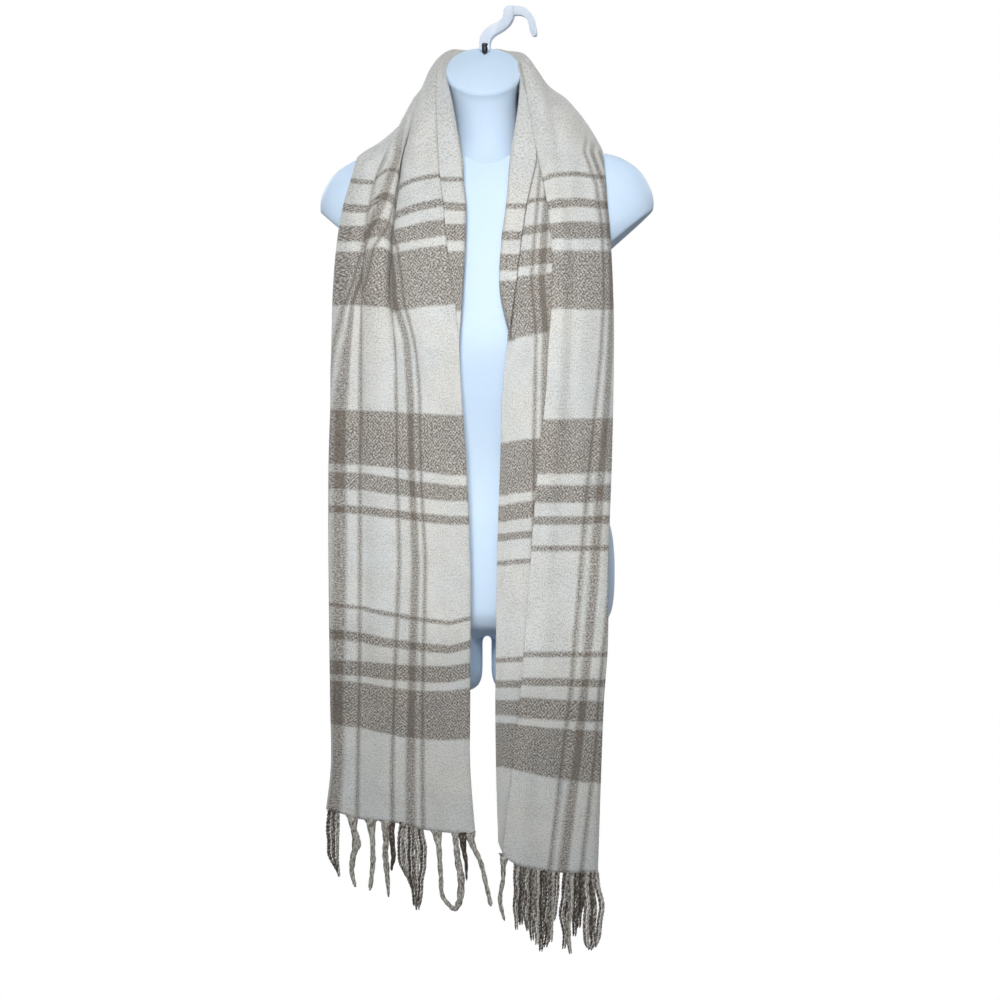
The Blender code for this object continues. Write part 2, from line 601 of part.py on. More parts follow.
def build_fringe(name, section, ropes, parts, cutters):
    down = Vector((0.0, 0.0, -1.0))
    hem = smooth_across(section)
    gap = SEAT_GAP * MM
    top = [point + down * gap for point in hem]
    low = [point + down * (gap + STRIP_HEIGHT * MM) for point in hem]
    strip = wall_object(name, [top, low], sheet_normals([top, low]), "rope", parts)
    bm = bmesh.new()
    for rope in ropes:
        root = layer_point(section, rope["layer"], rope["share"])
        root = root + down * (gap + STRIP_HEIGHT / 2 * MM)
        rope_mesh = bmesh.new()
        loft(rope_mesh, rope_rings(root, rope))
        scratch = mesh_from(rope_mesh, "rope")
        bm.from_mesh(scratch)
        bpy.data.meshes.remove(scratch)
    strands = add_object(name + "_guide", mesh_from(bm, name + "_guide"), "rope", parts)
    unite(strip, strands, cutters, own_overlaps=True)


# ---- the whole ----

def main():
    for old in list(bpy.data.objects):
        bpy.data.objects.remove(old, do_unlink=True)
    parts = bpy.data.collections.new(OBJECT_NAME)
    cutters = bpy.data.collections.new("cutters")
    bpy.context.scene.collection.children.link(parts)
    bpy.context.scene.collection.children.link(cutters)
    cutters.hide_render = True
    build_torso(parts, cutters)
    build_hook(parts)
    left_hem, right_hem = build_scarf(parts)
    build_fringe("fringe_left", left_hem, LEFT_ROPES, parts, cutters)
    build_fringe("fringe_right", right_hem, RIGHT_ROPES, parts, cutters)


main()
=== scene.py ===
import math
import random

import bmesh
import bpy
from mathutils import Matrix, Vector, noise


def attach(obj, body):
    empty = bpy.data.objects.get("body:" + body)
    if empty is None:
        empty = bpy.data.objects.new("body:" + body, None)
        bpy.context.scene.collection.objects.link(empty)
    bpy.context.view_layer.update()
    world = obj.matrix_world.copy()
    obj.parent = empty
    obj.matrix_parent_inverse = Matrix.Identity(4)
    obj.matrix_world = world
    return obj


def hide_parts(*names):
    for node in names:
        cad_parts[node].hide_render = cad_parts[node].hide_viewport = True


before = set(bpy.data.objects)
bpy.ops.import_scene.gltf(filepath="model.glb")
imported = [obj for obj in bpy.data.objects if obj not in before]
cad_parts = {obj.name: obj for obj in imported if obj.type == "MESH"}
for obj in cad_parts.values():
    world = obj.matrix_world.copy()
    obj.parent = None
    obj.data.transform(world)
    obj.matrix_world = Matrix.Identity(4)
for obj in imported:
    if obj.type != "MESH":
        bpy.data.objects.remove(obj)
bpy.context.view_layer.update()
random.seed(7)

mm = 0.001
middleX = -38.0  # the form's middle plane, from the hook's crook, in mm


# Points, curves and tables

def atPoint(x, y, drop):
    return Vector((middleX + x, y, -drop)) * mm  # x from the form's middle plane, drop below the hook's crook


def curvePoint(points, position):
    last = len(points) - 1
    index = min(int(position), last - 1)
    start, end = points[index], points[index + 1]
    before = points[index - 1] if index > 0 else 2 * start - end
    after = points[index + 2] if index + 2 <= last else 2 * end - start
    four = (before, start, end, after)
    knots = [0.0]
    for first, second in zip(four, four[1:]):
        knots.append(knots[-1] + math.sqrt(max((second - first).length, 1e-5)))
    here = knots[1] + (knots[2] - knots[1]) * (position - index)

    def mix(first, second, low, high):
        return first + (second - first) * ((here - low) / (high - low))

    one, two, three = (mix(four[k], four[k + 1], knots[k], knots[k + 1]) for k in range(3))
    return mix(mix(one, two, knots[0], knots[2]), mix(two, three, knots[1], knots[3]), knots[1], knots[2])


def between(first, second, share):
    if isinstance(first, dict):
        return {name: between(first[name], second[name], share) for name in first}
    if isinstance(first, tuple):
        return tuple(between(p, q, share) for p, q in zip(first, second))
    return first + (second - first) * share


def lookUp(table, value):
    for (low, first), (high, second) in zip(table, table[1:]):
        if value <= high:
            return between(first, second, min(max((value - low) / (high - low), 0.0), 1.0))
    return table[-1][1]


def rowAt(rows, drop):
    return lookUp([(row["drop"], row) for row in rows], drop)


def namedRows(names, rows, **shared):
    return [dict(zip(names.split(), row), **shared) for row in rows]


def smoothStep(value):
    value = min(max(value, 0.0), 1.0)
    return value * value * (3 - 2 * value)


# Pieces and node trees

def addObject(name, data):
    made = bpy.data.objects.new(name, data)
    bpy.context.scene.collection.objects.link(made)
    return made


def addPiece(name, mesh, material, replaced=()):
    piece = addObject(name, mesh)
    mesh.materials.append(material)
    mesh.shade_smooth()
    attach(piece, "root")
    if replaced:
        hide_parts(*replaced)
    return piece


def meshFrom(bm, name):
    mesh = bpy.data.meshes.new(name)
    bm.to_mesh(mesh)
    bm.free()
    return mesh


def startMaterial(name):
    material = bpy.data.materials.new(name)
    material.use_nodes = True
    tree = material.node_tree
    return material, tree, tree.nodes["Principled BSDF"]


def setInputs(tree, node, inputs):
    for name, value in inputs.items():
        if isinstance(value, bpy.types.NodeSocket):
            tree.links.new(value, node.inputs[name])
        else:
            node.inputs[name].default_value = value


def addNode(tree, kind, inputs=None, **settings):
    node = tree.nodes.new(kind)
    for name, value in settings.items():
        setattr(node, name, value)
    setInputs(tree, node, inputs or {})
    return node


def mathNode(tree, operation, *values, clamp=False):
    inputs = dict(enumerate(values))
    return addNode(tree, "ShaderNodeMath", inputs, operation=operation, use_clamp=clamp).outputs[0]


def times(tree, first, second, clamp=False):
    return mathNode(tree, "MULTIPLY", first, second, clamp=clamp)


def scaled(tree, value, scale, shift, clamp=False):
    return mathNode(tree, "MULTIPLY_ADD", value, scale, shift, clamp=clamp)


def minus(tree, first, second):
    return mathNode(tree, "SUBTRACT", first, second)


def rampNode(tree, value, stops):
    ramp = addNode(tree, "ShaderNodeValToRGB", {"Fac": value})
    elements = ramp.color_ramp.elements
    while len(elements) > 1:
        elements.remove(elements[-1])
    elements[0].position = stops[0][0]
    elements[0].color = (*(stops[0][1],) * 3, 1.0)
    for position, level in stops[1:]:
        elements.new(position).color = (*(level,) * 3, 1.0)
    return ramp.outputs["Color"]


def mixColour(tree, share, first, second, blend="MIX"):
    inputs = {0: share, 6: first, 7: second}
    return addNode(tree, "ShaderNodeMix", inputs, data_type="RGBA", blend_type=blend).outputs[2]


def noiseNode(tree, vector, scale, detail=2.0, roughness=0.5):
    inputs = {"Vector": vector, "Scale": scale, "Detail": detail, "Roughness": roughness}
    return addNode(tree, "ShaderNodeTexNoise", inputs).outputs["Fac"]


# The plaid: the sett in mm. Warp stripes mirror about the cloth's middle, weft bands about a cream middle.

plaid = dict(
    width=241.0, weftRepeat=521.0, weftSoft=1.3, warpSoft=2.0,
    warpStripes=((24.0, 2.6), (44.0, 4.9), (56.5, 2.4)),   # distance from the middle, half width
    weftBands=((93.0, 31.0), (144.0, 10.0), (177.5, 5.5), (211.5, 2.9)),
    cream=(0.76, 0.75, 0.71, 1.0), creamCool=(0.715, 0.74, 0.735, 1.0), creamShade=(0.46, 0.46, 0.435, 1.0),
    taupe=(0.192, 0.158, 0.124, 1.0), taupeDark=(0.103, 0.081, 0.061, 1.0),
    diamond=4.3,   # repeat of the broken twill
    paintedShadeSpan=1020.0,   # from the nape; painted shade: the cloth is darkened there and towards the ends
    paintedShadeLevels=((0, 0.89), (100, 0.89), (230, 0.95), (350, 0.99), (735, 1.0), (800, 0.85), (1020, 0.85)),
    plainNape=195.0,   # no weft bands nearer to the nape than this
    missing=309.5, missingReach=10.0,   # the thin band that the left end lacks
    stripesFrom=145.0, stripesFull=195.0,   # the warp stripes fade in past the shoulders
)


def bandStops(bands, span, soft):
    stops = [(0.0, 0.0)]
    for centre, half in bands:
        for position, level in ((centre - half - soft, 0.0), (centre - half + soft, 1.0),
                                (centre + half - soft, 1.0), (centre + half + soft, 0.0)):
            stops.append((position / span, level))
    return stops


def plaidMaterial(name, patternMiddle):
    material, tree, shader = startMaterial(name)
    cut = addNode(tree, "ShaderNodeUVMap", uv_map="cut").outputs["UV"]
    parts = addNode(tree, "ShaderNodeSeparateXYZ", {"Vector": cut})
    across, along = parts.outputs["X"], parts.outputs["Y"]
    ends = addNode(tree, "ShaderNodeMapping", {"Vector": cut, "Scale": (1.0, 0.12, 1.0)}).outputs["Vector"]
    ragged = scaled(tree, noiseNode(tree, ends, 760.0, 3.0, 0.7), 0.0048, -0.0024)
    wander = scaled(tree, noiseNode(tree, cut, 420.0, 3.0), 0.0030, -0.0015)
    halfWidth, halfRepeat = plaid["width"] / 2, plaid["weftRepeat"] / 2
    offMiddle = minus(tree, mathNode(tree, "ADD", across, wander), halfWidth * mm)
    fromMiddle = mathNode(tree, "ABSOLUTE", offMiddle)
    warp = rampNode(tree, mathNode(tree, "DIVIDE", fromMiddle, halfWidth * mm),
                    bandStops(plaid["warpStripes"], halfWidth, plaid["warpSoft"]))
    offNape = minus(tree, mathNode(tree, "ADD", along, ragged), patternMiddle * mm)
    fromNape = mathNode(tree, "ABSOLUTE", offNape)
    folded = mathNode(tree, "PINGPONG", minus(tree, patternMiddle * mm, fromNape), halfRepeat * mm)
    bands = rampNode(tree, mathNode(tree, "DIVIDE", folded, halfRepeat * mm),
                     bandStops(plaid["weftBands"], halfRepeat, plaid["weftSoft"]))
    fadeIn = 1 / (plaid["stripesFull"] - plaid["stripesFrom"])
    shown = scaled(tree, fromNape, fadeIn / mm, -plaid["stripesFrom"] * fadeIn, clamp=True)
    warp = times(tree, warp, shown)
    plainNape = mathNode(tree, "GREATER_THAN", fromNape, plaid["plainNape"] * mm)
    fromMissing = mathNode(tree, "ABSOLUTE", minus(tree, along, plaid["missing"] * mm))
    kept = mathNode(tree, "GREATER_THAN", fromMissing, plaid["missingReach"] * mm)
    weft = times(tree, bands, times(tree, plainNape, kept))

    # Broken twill: patches of rising and of falling diagonals in which the cream warp lies on top.
    turn = 2 * math.pi / (plaid["diamond"] * mm)
    shift = scaled(tree, noiseNode(tree, cut, 120.0, 2.0), 6.0, -3.0)
    rising = mathNode(tree, "SINE", scaled(tree, mathNode(tree, "ADD", across, along), turn, shift))
    falling = mathNode(tree, "SINE", scaled(tree, minus(tree, across, along), turn, shift))
    patches = scaled(tree, noiseNode(tree, cut, 150.0, 1.0), 9.0, -4.0, clamp=True)
    diagonal = mathNode(tree, "ADD", times(tree, rising, patches),
                        times(tree, falling, minus(tree, 1.0, patches)))
    fleck = noiseNode(tree, cut, 440.0, 4.0, 0.8)
    lift = scaled(tree, diagonal, 0.27, scaled(tree, fleck, 5.0, -2.1))
    warpOnTop = times(tree, lift, 0.86, clamp=True)
    speckle = scaled(tree, noiseNode(tree, cut, 560.0, 3.0, 0.7), 6.0, -2.45, clamp=True)

    weftShare = times(tree, weft, minus(tree, 1.0, warpOnTop))
    warpShare = times(tree, warp, scaled(tree, speckle, 0.62, 0.26))
    crossed = times(tree, warp, weft)
    taupeShare = mathNode(tree, "MAXIMUM", mathNode(tree, "MAXIMUM", weftShare, warpShare),
                          times(tree, crossed, scaled(tree, speckle, 0.22, 0.74)))
    cloudy = noiseNode(tree, cut, 30.0, 4.0, 0.6)
    rows = addNode(tree, "ShaderNodeMapping", {"Vector": cut, "Scale": (0.16, 1.0, 1.0)}).outputs["Vector"]
    picks = noiseNode(tree, rows, 640.0, 2.0, 0.6)
    pepper = noiseNode(tree, cut, 600.0, 3.0, 0.75)
    creamTone = scaled(tree, picks, 1.2, scaled(tree, cloudy, 1.1, -3.9))
    creamTone = scaled(tree, pepper, 6.0, creamTone, clamp=True)
    coolness = scaled(tree, noiseNode(tree, cut, 11.0, 3.0), 4.0, -1.5, clamp=True)
    paleCream = mixColour(tree, coolness, plaid["cream"], plaid["creamCool"])
    cream = mixColour(tree, creamTone, paleCream, plaid["creamShade"])
    taupeTone = scaled(tree, cloudy, 0.9, scaled(tree, crossed, 0.25, -0.15), clamp=True)
    taupe = mixColour(tree, taupeTone, plaid["taupe"], plaid["taupeDark"])
    # painted shade: the cloth's colour is darkened near the nape and towards the ends
    tone = rampNode(tree, mathNode(tree, "DIVIDE", fromNape, plaid["paintedShadeSpan"] * mm),
                    [(place / plaid["paintedShadeSpan"], level) for place, level in plaid["paintedShadeLevels"]])
    colour = mixColour(tree, 1.0, mixColour(tree, taupeShare, cream, taupe), tone, "MULTIPLY")
    nap = noiseNode(tree, cut, 1400.0, 3.0)
    height = scaled(tree, lift, 0.35, nap)
    bump = addNode(tree, "ShaderNodeBump", {"Height": height, "Strength": 0.5, "Distance": 0.0010})
    setInputs(tree, shader, {"Base Color": colour, "Roughness": 0.95, "Specular IOR Level": 0.12,
                             "Sheen Weight": 0.2, "Sheen Roughness": 0.5, "Normal": bump.outputs["Normal"]})
    return material


# The scarf: one length, folded lengthwise. Rows run from the left hem over the shoulders to the right hem.

scarf = dict(
    wall=1.8, acrossSteps=5, rowGap=5.2, width=0.241, length=2.04,
    columns=("lapelEdge", "lapelMid", "turnFront", "turn", "turnBack", "underMid", "foldUnder", "fold",
             "foldOver", "outer", "creaseC", "pleat", "creaseB", "front", "creaseA", "neckEdge"),
    leftRows=namedRows("drop neck a b c fold inner bulge", (
        (175, (-29, -78), -61, -102, -122, (-157, -54), -96, 9),
        (199, (-28, -84), -59, -105, -132, (-164, -62), -98, 11),
        (226, (-25, -95), -55, -109, -138, (-172, -67), -102, 12),
        (271, (-26, -110), -51, -114, -144, (-180.2, -74), -108, 13),
        (331, (-29, -127), -43, -117, -148, (-185.3, -84), -113, 14),
        (364, (-31, -133), -37.5, -114, -149, (-186.3, -89), -114, 13.5),
        (397, (-33, -139), -33.8, -111, -149, (-187.2, -93), -115, 13),
        (430, (-32, -140), -37, -109, -149.5, (-188, -96), -115.5, 12.5),
        (463, (-30, -141), -42, -107, -150, (-188, -99), -116, 12),
        (535, (-25, -140), -45, -107, -150, (-190, -102), -118, 10),
        (655, (-20, -138), -44, -106, -150, (-190, -105), -119, 8),
        (823, (-20, -135), -45, -106, -149, (-188, -105), -118, 7),
        (900, (-20, -133), -44, -105, -149.5, (-187, -104), -119, 6.5),
        (1000, (-11, -131), -42, -104, -150, (-195, -103), -120, 6),
    ), gap=6),
    leftHem=((-192, 953), (-151, 965), (-108, 969), (-78, 977), (-12, 985)), leftHemRow=970, leftTuck=10.0,
    rightRows=namedRows("drop neck fold inner lapel turn bulge", (
        (166, (60, -84), (139, -56), (29, -71), 31, 1.0, 6),
        (199, (67, -93), (143, -65), (26, -79), 28, 1.0, 6),
        (226, (72, -102), (145, -73), (24, -90), 24, 1.0, 6),
        (271, (77, -114), (149, -78), (18, -103), 23, 1.0, 6),
        (331, (78, -129), (152, -87), (16, -121), 18, 1.0, 6),
        (373, (76, -136), (153, -93), (21, -129), 9, 0.6, 6),
        (397, (74, -139), (153, -96), (24, -132), 8, 0.0, 6),
        (463, (70, -142), (152, -101), (18, -135), 8, 0.0, 6),
        (535, (62, -142), (150.3, -105), (16, -134), 8, 0.0, 6),
        (655, (52, -140), (146, -108), (12, -132), 8, 0.0, 5),
        (755, (44.5, -138.5), (145.2, -108), (10.8, -130), 8, 0.0, 5),
        (823, (39, -137), (140.5, -108), (10, -129), 8, 0.0, 5),
        (910, (30, -136), (137, -107), (11, -128), 8, 0.0, 5),
        (1050, (15, -134), (132, -106), (14, -126), 8, 0.0, 5),
    ), gap=6),
    rightHem=((13.5, 992), (18, 1004), (24, 1012), (34, 1019), (47, 1023), (85, 1029), (132, 1029)),
    rightHemRow=1020,
    neckRows=namedRows("neck top crown slope fold a b c inner lapel turn gap crease", (
        ((-40, -54, 112), (-52, -57.5, 114), (-70, -60, 125), (-110.5, -56, 154),
         (-157, -36, 174), 0.78, 0.5, 0.34, 0.5, 10, 0.0, 4.5, 0.85),
        ((-48, -20, 64), (-56, -19, 59.5), (-72, -18, 83.5), (-109, -16, 141),
         (-155, -14, 173), 0.88, 0.62, 0.48, 0.5, 10, 0.0, 4.0, 0.4),
        ((-34, 2, 49), (-43.5, 5, 42), (-67.5, 13, 75), (-104, 18, 138),
         (-138, 22, 188), 0.9, 0.6, 0.42, 0.52, 10, 0.0, 4.5, 0.25),
        ((-20, 11, 43), (-25, 17, 36.8), (-42, 24, 78), (-60, 30, 141),
         (-80, 35, 196), 0.82, 0.58, 0.38, 0.56, 10, 0.0, 5.0, 0.3),
        ((0, 13.5, 41.5), (0, 20, 35.8), (0, 27, 80), (0, 33, 142),
         (0, 38, 197), 0.8, 0.55, 0.33, 0.62, 10, 0.0, 5.0, 0.4),
        ((17, 11, 42), (24, 17, 36), (42, 24, 78), (57, 31, 136),
         (74, 35, 189), 0.8, 0.55, 0.3, 0.7, 10, 0.0, 5.0, 0.3),
        ((28, 2, 48), (37.5, 5, 43.5), (60.5, 14, 74.5), (93, 18, 120),
         (124, 21, 174), 0.84, 0.58, 0.31, 0.76, 6, 0.0, 4.0, 0.2),
        ((41, -20, 62), (48, -17, 58), (65, -15, 80), (109, -14, 118),
         (139, -14, 168.4), 0.88, 0.62, 0.33, 0.94, 6, 0.0, 3.2, 0.2),
        ((50, -54, 110), (58, -57, 112), (75, -60, 119), (113, -54, 142),
         (139, -38, 167.5), 0.92, 0.65, 0.34, 1.12, 12, 0.9, 4.0, 0.4),
    )),
    neckPlaces=((0, 0), (0.34, 1), (0.68, 2), (0.88, 3), (1, 4)),   # share of the breadth, place on a row
    leftStand=dict(outer=6, creaseC=2, pleat=10, creaseB=3, front=12, creaseA=6, neckEdge=7),
    leftStandLow=dict(outer=3, creaseC=1, pleat=3, creaseB=1, front=4, creaseA=2, neckEdge=1),
    rightStand=dict(outer=3, creaseC=2, pleat=3, creaseB=2, front=4, creaseA=2, neckEdge=0),
    creasesFade=(340, 500),
)

turnAt, foldAt, creaseBAt, frontAt, creaseAAt = (
    scarf["columns"].index(name) for name in ("turn", "fold", "creaseB", "front", "creaseA"))


def foldedSection(over, shares, stand, out, gap, inner, lapel, turn, underShare):
    fold, neck = over(0.0), over(1.0)
    radius = gap / 2 * mm
    inward = (over(0.2) - fold).normalized()
    foldOut = (out - inward * out.dot(inward)).normalized()
    section = dict(neckEdge=neck + out * stand["neckEdge"] * mm)
    for name, share in zip(scarf["columns"][9:15], shares):
        section[name] = over(share) + out * stand[name] * mm
    section["foldOver"] = fold + inward * radius
    section["fold"] = fold - foldOut * radius
    section["foldUnder"] = fold + inward * radius - foldOut * 2 * radius
    section["underMid"] = over(underShare) - out * 2 * radius
    along = (inner - section["underMid"]).normalized()
    section["turnBack"] = inner - along * radius
    section["turn"] = inner + out * turn * radius
    angle = math.pi * turn
    for name, width in (("turnFront", min(radius, 0.3 * lapel * mm)), ("lapelMid", 0.6 * lapel * mm),
                        ("lapelEdge", lapel * mm)):
        section[name] = (inner + along * width * math.cos(angle)
                         + out * (width * math.sin(angle) + turn * 2 * radius))
    return section


def endSection(side, row, hem=None):
    drop, out = row["drop"], Vector((0.0, -1.0, 0.0))
    neck, fold = atPoint(*row["neck"], drop), atPoint(*row["fold"], drop)

    def over(share):
        return fold.lerp(neck, share) + out * 4 * row["bulge"] * share * (1 - share) * mm

    span = row["neck"][0] - row["fold"][0]
    if side == "left":
        low, high = scarf["creasesFade"]
        fade = 1.0 - min(max((drop - low) / (high - low), 0.0), 1.0)
        deep, flat = scarf["leftStand"], scarf["leftStandLow"]
        stand = {name: flat[name] + (deep[name] - flat[name]) * fade for name in deep}
        a, b, c = ((row[key] - row["fold"][0]) / span for key in "abc")
        shares = (c * 0.5, c, (c + b) / 2, b, (a + b) / 2, a)
        reach = (row["inner"] - scarf["leftTuck"] - row["fold"][0]) / span
        inner = over(reach) - out * row["gap"] * mm
        lapel, turn, underShare = scarf["leftTuck"], 0.0, reach * 0.5
    else:
        stand = scarf["rightStand"]
        shares = (0.17, 0.34, 0.5, 0.66, 0.82, 0.93)
        lapel, turn, underShare = row["lapel"], row["turn"], 0.6
        x, y = row["inner"]
        inner = atPoint(x + lapel * (1 - turn), y, drop)
    section = foldedSection(over, shares, stand, out, row["gap"], inner, lapel, turn, underShare)
    if hem:
        for point in section.values():
            point.z = -lookUp(hem, point.x / mm - middleX) * mm
    return section


def neckSection(row, along):
    points = [atPoint(*row[key]) for key in ("fold", "slope", "crown", "top", "neck")]

    def over(share):
        if share > 1.0:
            return points[-1] + (share - 1.0) * 3 * (points[-1] - points[-3])
        return curvePoint(points, lookUp(scarf["neckPlaces"], share))

    out = along.cross(points[-1] - points[0]).normalized()
    if out.dot(over(0.5) - atPoint(0, form["middleY"], row["slope"][2] + 60)) < 0:
        out.negate()
    stand = {name: scarf["leftStand"][name] * row["crease"] for name in scarf["leftStand"]}
    stand["neckEdge"] = 0.0
    a, b, c = row["a"], row["b"], row["c"]
    shares = (c * 0.5, c, (c + b) / 2, b, (a + b) / 2, a)
    inner = over(row["inner"]) - out * row["gap"] * (1.0 + row["turn"]) * mm
    return foldedSection(over, shares, stand, out, row["gap"], inner, row["lapel"], row["turn"],
                         min(row["inner"] * 0.5, 0.55))


def scarfSections():
    leftRows, rightRows = scarf["leftRows"], scarf["rightRows"]
    left = [endSection("left", rowAt(leftRows, scarf["leftHemRow"]), scarf["leftHem"])]
    left += [endSection("left", row) for row in reversed(leftRows[:-1])]
    right = [endSection("right", row) for row in rightRows[:-1]]
    right.append(endSection("right", rowAt(rightRows, scarf["rightHemRow"]), scarf["rightHem"]))
    middles = [left[-1]["pleat"]]
    middles += [(atPoint(*row["neck"]) + atPoint(*row["fold"])) / 2 for row in scarf["neckRows"]]
    middles.append(right[0]["pleat"])
    neck = [neckSection(row, middles[i + 2] - middles[i]) for i, row in enumerate(scarf["neckRows"])]
    return left, neck, right


# Where the woven pattern lies on the hanging ends. For the warp: the distance in mm from the over layer's
# selvage at the fold, crease C, the pleat, crease B (on its left and right), the front, crease A (left and
# right) and the neck edge. For the weft: the drop in mm of a place in the repeat at the same columns.

pattern = dict(
    middle=954.0, leftTurnWarp=231.0, turnWarp=217.0, underWarp=177.0,
    leftWarpKnots=(7, 9, 10, 11, 12, 12, 13, 14, 14, 15), leftWeftKnots=(7, 10, 11, 12, 12, 13, 14, 14, 15),
    leftWarp=(
        (175, (205, 191, 177, 170, 142, 50, 26, 1, 205, 179)),
        (222, (208, 193, 176, 166, 136, 52, 27, 1, 205, 179)),
        (252, (206, 191, 175, 158, 130, 62, 31, 1, 205, 179)),
        (283, (204, 189.5, 171, 139, 121, 80, 37, 1, 205, 179)),
        (319, (199, 186, 158, 134, 117, 90, 40, 1, 203, 179)),
        (349, (195, 174, 142, 124, 108, 88, 42, 1, 199, 179)),
        (394, (188, 167, 141, 122, 100, 99, 46, 1, 180, 179)),
        (402, (187, 166, 141, 121, 99, 98, 47, 2, 2, 0)),
        (463, (180, 161.5, 142, 119, 95, 95, 57, 16, 16, 0)),
        (655, (179, 161, 142, 120, 97.5, 97.5, 65.5, 28, 28, 0)),
        (907, (179, 157, 139, 111, 88, 88, 61.5, 27, 27, 0)),
        (1000, (179, 157, 139, 111, 88, 88, 61.5, 27, 27, 0)),
    ),
    leftWeft=(
        (732, (198, 202, 189, 194, 213, 200, 196, 199, 199)),
        (699, (230, 233, 219, 228, 247, 233, 227, 230, 232)),
        (675, (253, 254, 246, 254, 261, 252, 247, 252, 252)),
        (655, (273, 273, 269, 276, 281, 272, 267, 273, 273)),
        (645, (285, 285, 281, 285, 289, 282, 278, 285, 285)),
        (583, (350, 350, 352, 354, 360, 352, 349, 357, 357)),
        (459, (473, 475, 476, 477, 477, 479, 481, 481, 481)),
        (397, (539, 541, 543, 545, 545, 549, 553, 553, 553)),
        (387, (548, 550, 553, 556, 556, 561, 565, 565, 565)),
        (367, (569, 571, 574, 577, 577, 581, 584, 584, 584)),
        (343.5, (593, 595, 598, 600, 600, 604, 607, 607, 607)),
        (211.5, (705, 712, 717, 721, 721, 726, 730, 730, 724)),
        (177.5, (740, 747, 752, 755, 755, 759, 762, 762, 755)),
        (154, (773, 776, 778, 779, 779, 781, 781, 781, 777)),
        (134, (791, 794, 797, 799, 799, 801, 801, 801, 795)),
        (124, (797, 801, 805, 808, 808, 811, 811, 811, 807)),
        (62, (849, 856, 861, 866, 866, 869, 870, 870, 869)),
        (-46, (953, 965, 968, 969, 969, 977, 980, 980, 985)),
    ),
    rightKnots=(7, 9, 10, 11, 12, 13, 15),
    rightStripeAt=(0, 64, 76.5, 96.5),
    rightStripes=(
        (166, (60, 117, 126, 134)),
        (179, (63, 122, 131, 138)),
        (206, (67, 131, 141, 148)),
        (252, (75, 137, 146, 153)),
        (290, (78, 139, 148, 154)),
        (352, (78, 139, 149, 155)),
        (410, (75, 136, 148, 156)),
        (471, (70, 130, 144, 155)),
        (580, (59, 118, 136, 150)),
        (688, (49, 110, 129, 146)),
        (811, (40, 100, 118, 134)),
        (889, (32, 90, 109, 129)),
        (1050, (18, 71, 88, 110)),
    ),
    rightUnder=((166, 66), (318, 53), (390, 58), (511, 55), (1050, 52)),  # x of the under layer's last stripe
    rightWeft=(
        (732, (197, 195, 193, 192, 193, 194, 200), 231),
        (699, (230, 228, 226, 225, 226, 227, 230), 266),
        (675, (250, 250, 249, 249, 249, 250, 252), 288),
        (655, (270, 269, 269, 269, 269, 269, 270), 308),
        (645, (285, 284, 284, 284, 284, 284, 285), 320),
        (583, (354, 355, 355, 355, 354, 354, 354), 392),
        (459, (484, 484, 485, 485, 486, 486, 486), 514),
        (397, (550, 550, 551, 551, 551, 551, 551), 577),
        (387, (564, 564, 565, 565, 565, 565, 565), 589),
        (367, (585, 585, 586, 586, 586, 586, 586), 609),
        (343.5, (606, 606, 607, 607, 607, 607, 607), 627),
        (309.5, (639, 640, 640, 640, 640, 640, 640), 658),
        (211.5, (768, 768, 768, 768, 768, 768, 768), 775),
        (177.5, (803, 802, 802, 801, 801, 801, 800), 803),
        (154, (824, 823, 822, 821, 820, 819, 818), 822),
        (134, (850, 849, 848, 847, 846, 845, 844), 840),
        (124, (860, 858, 857, 856, 855, 853, 851), 849),
        (62, (923, 921, 919, 916, 913, 909, 904), 902),
        (-46, (1029, 1029, 1029, 1027, 1022, 1014, 1007), 1005),
    ),
)


def smoothAt(knots, values, place):
    last = len(knots) - 1
    for index in range(last):
        low, high = knots[index], knots[index + 1]
        if place <= high or index == last - 1:
            share = min(max((place - low) / (high - low), 0.0), 1.0)
            before, after = max(index - 1, 0), min(index + 2, last)
            slopeIn = (values[index + 1] - values[before]) / (high - knots[before]) * (high - low)
            slopeOut = (values[after] - values[index]) / (knots[after] - low) * (high - low)
            bend, ease = share ** 3 - share ** 2, 3 * share ** 2 - 2 * share ** 3
            return (values[index] + (values[index + 1] - values[index]) * ease
                    + (bend - share ** 2 + share) * slopeIn + bend * slopeOut)


def weftAt(table, drop):
    (firstDrop, firstPlace), (nextDrop, nextPlace) = table[0], table[1]
    if drop < firstDrop:
        return firstPlace + (firstDrop - drop) * (firstPlace - nextPlace) / (nextDrop - firstDrop)
    return lookUp(table, drop)


def leftPlace(place, part, drop):
    if place < foldAt:
        warp = lookUp(pattern["leftWarp"], drop)[0]
        warp += (pattern["leftTurnWarp"] - warp) * min((foldAt - place) / (foldAt - turnAt), 1.0)
        warp += max(turnAt - place, 0) * 10 / 3
        return warp, weftAt(pattern["leftTables"][0], drop)
    low, high = ((0, 5), (5, 8), (8, 10))[part]            # columns up to crease B, to crease A and past it
    warp = smoothAt(pattern["leftWarpKnots"][low:high], lookUp(pattern["leftWarp"], drop)[low:high], place)
    low, high = ((0, 4), (4, 7), (7, 9))[part]
    drops = [weftAt(table, drop) for table in pattern["leftTables"][low:high]]
    return warp, smoothAt(pattern["leftWeftKnots"][low:high], drops, place)


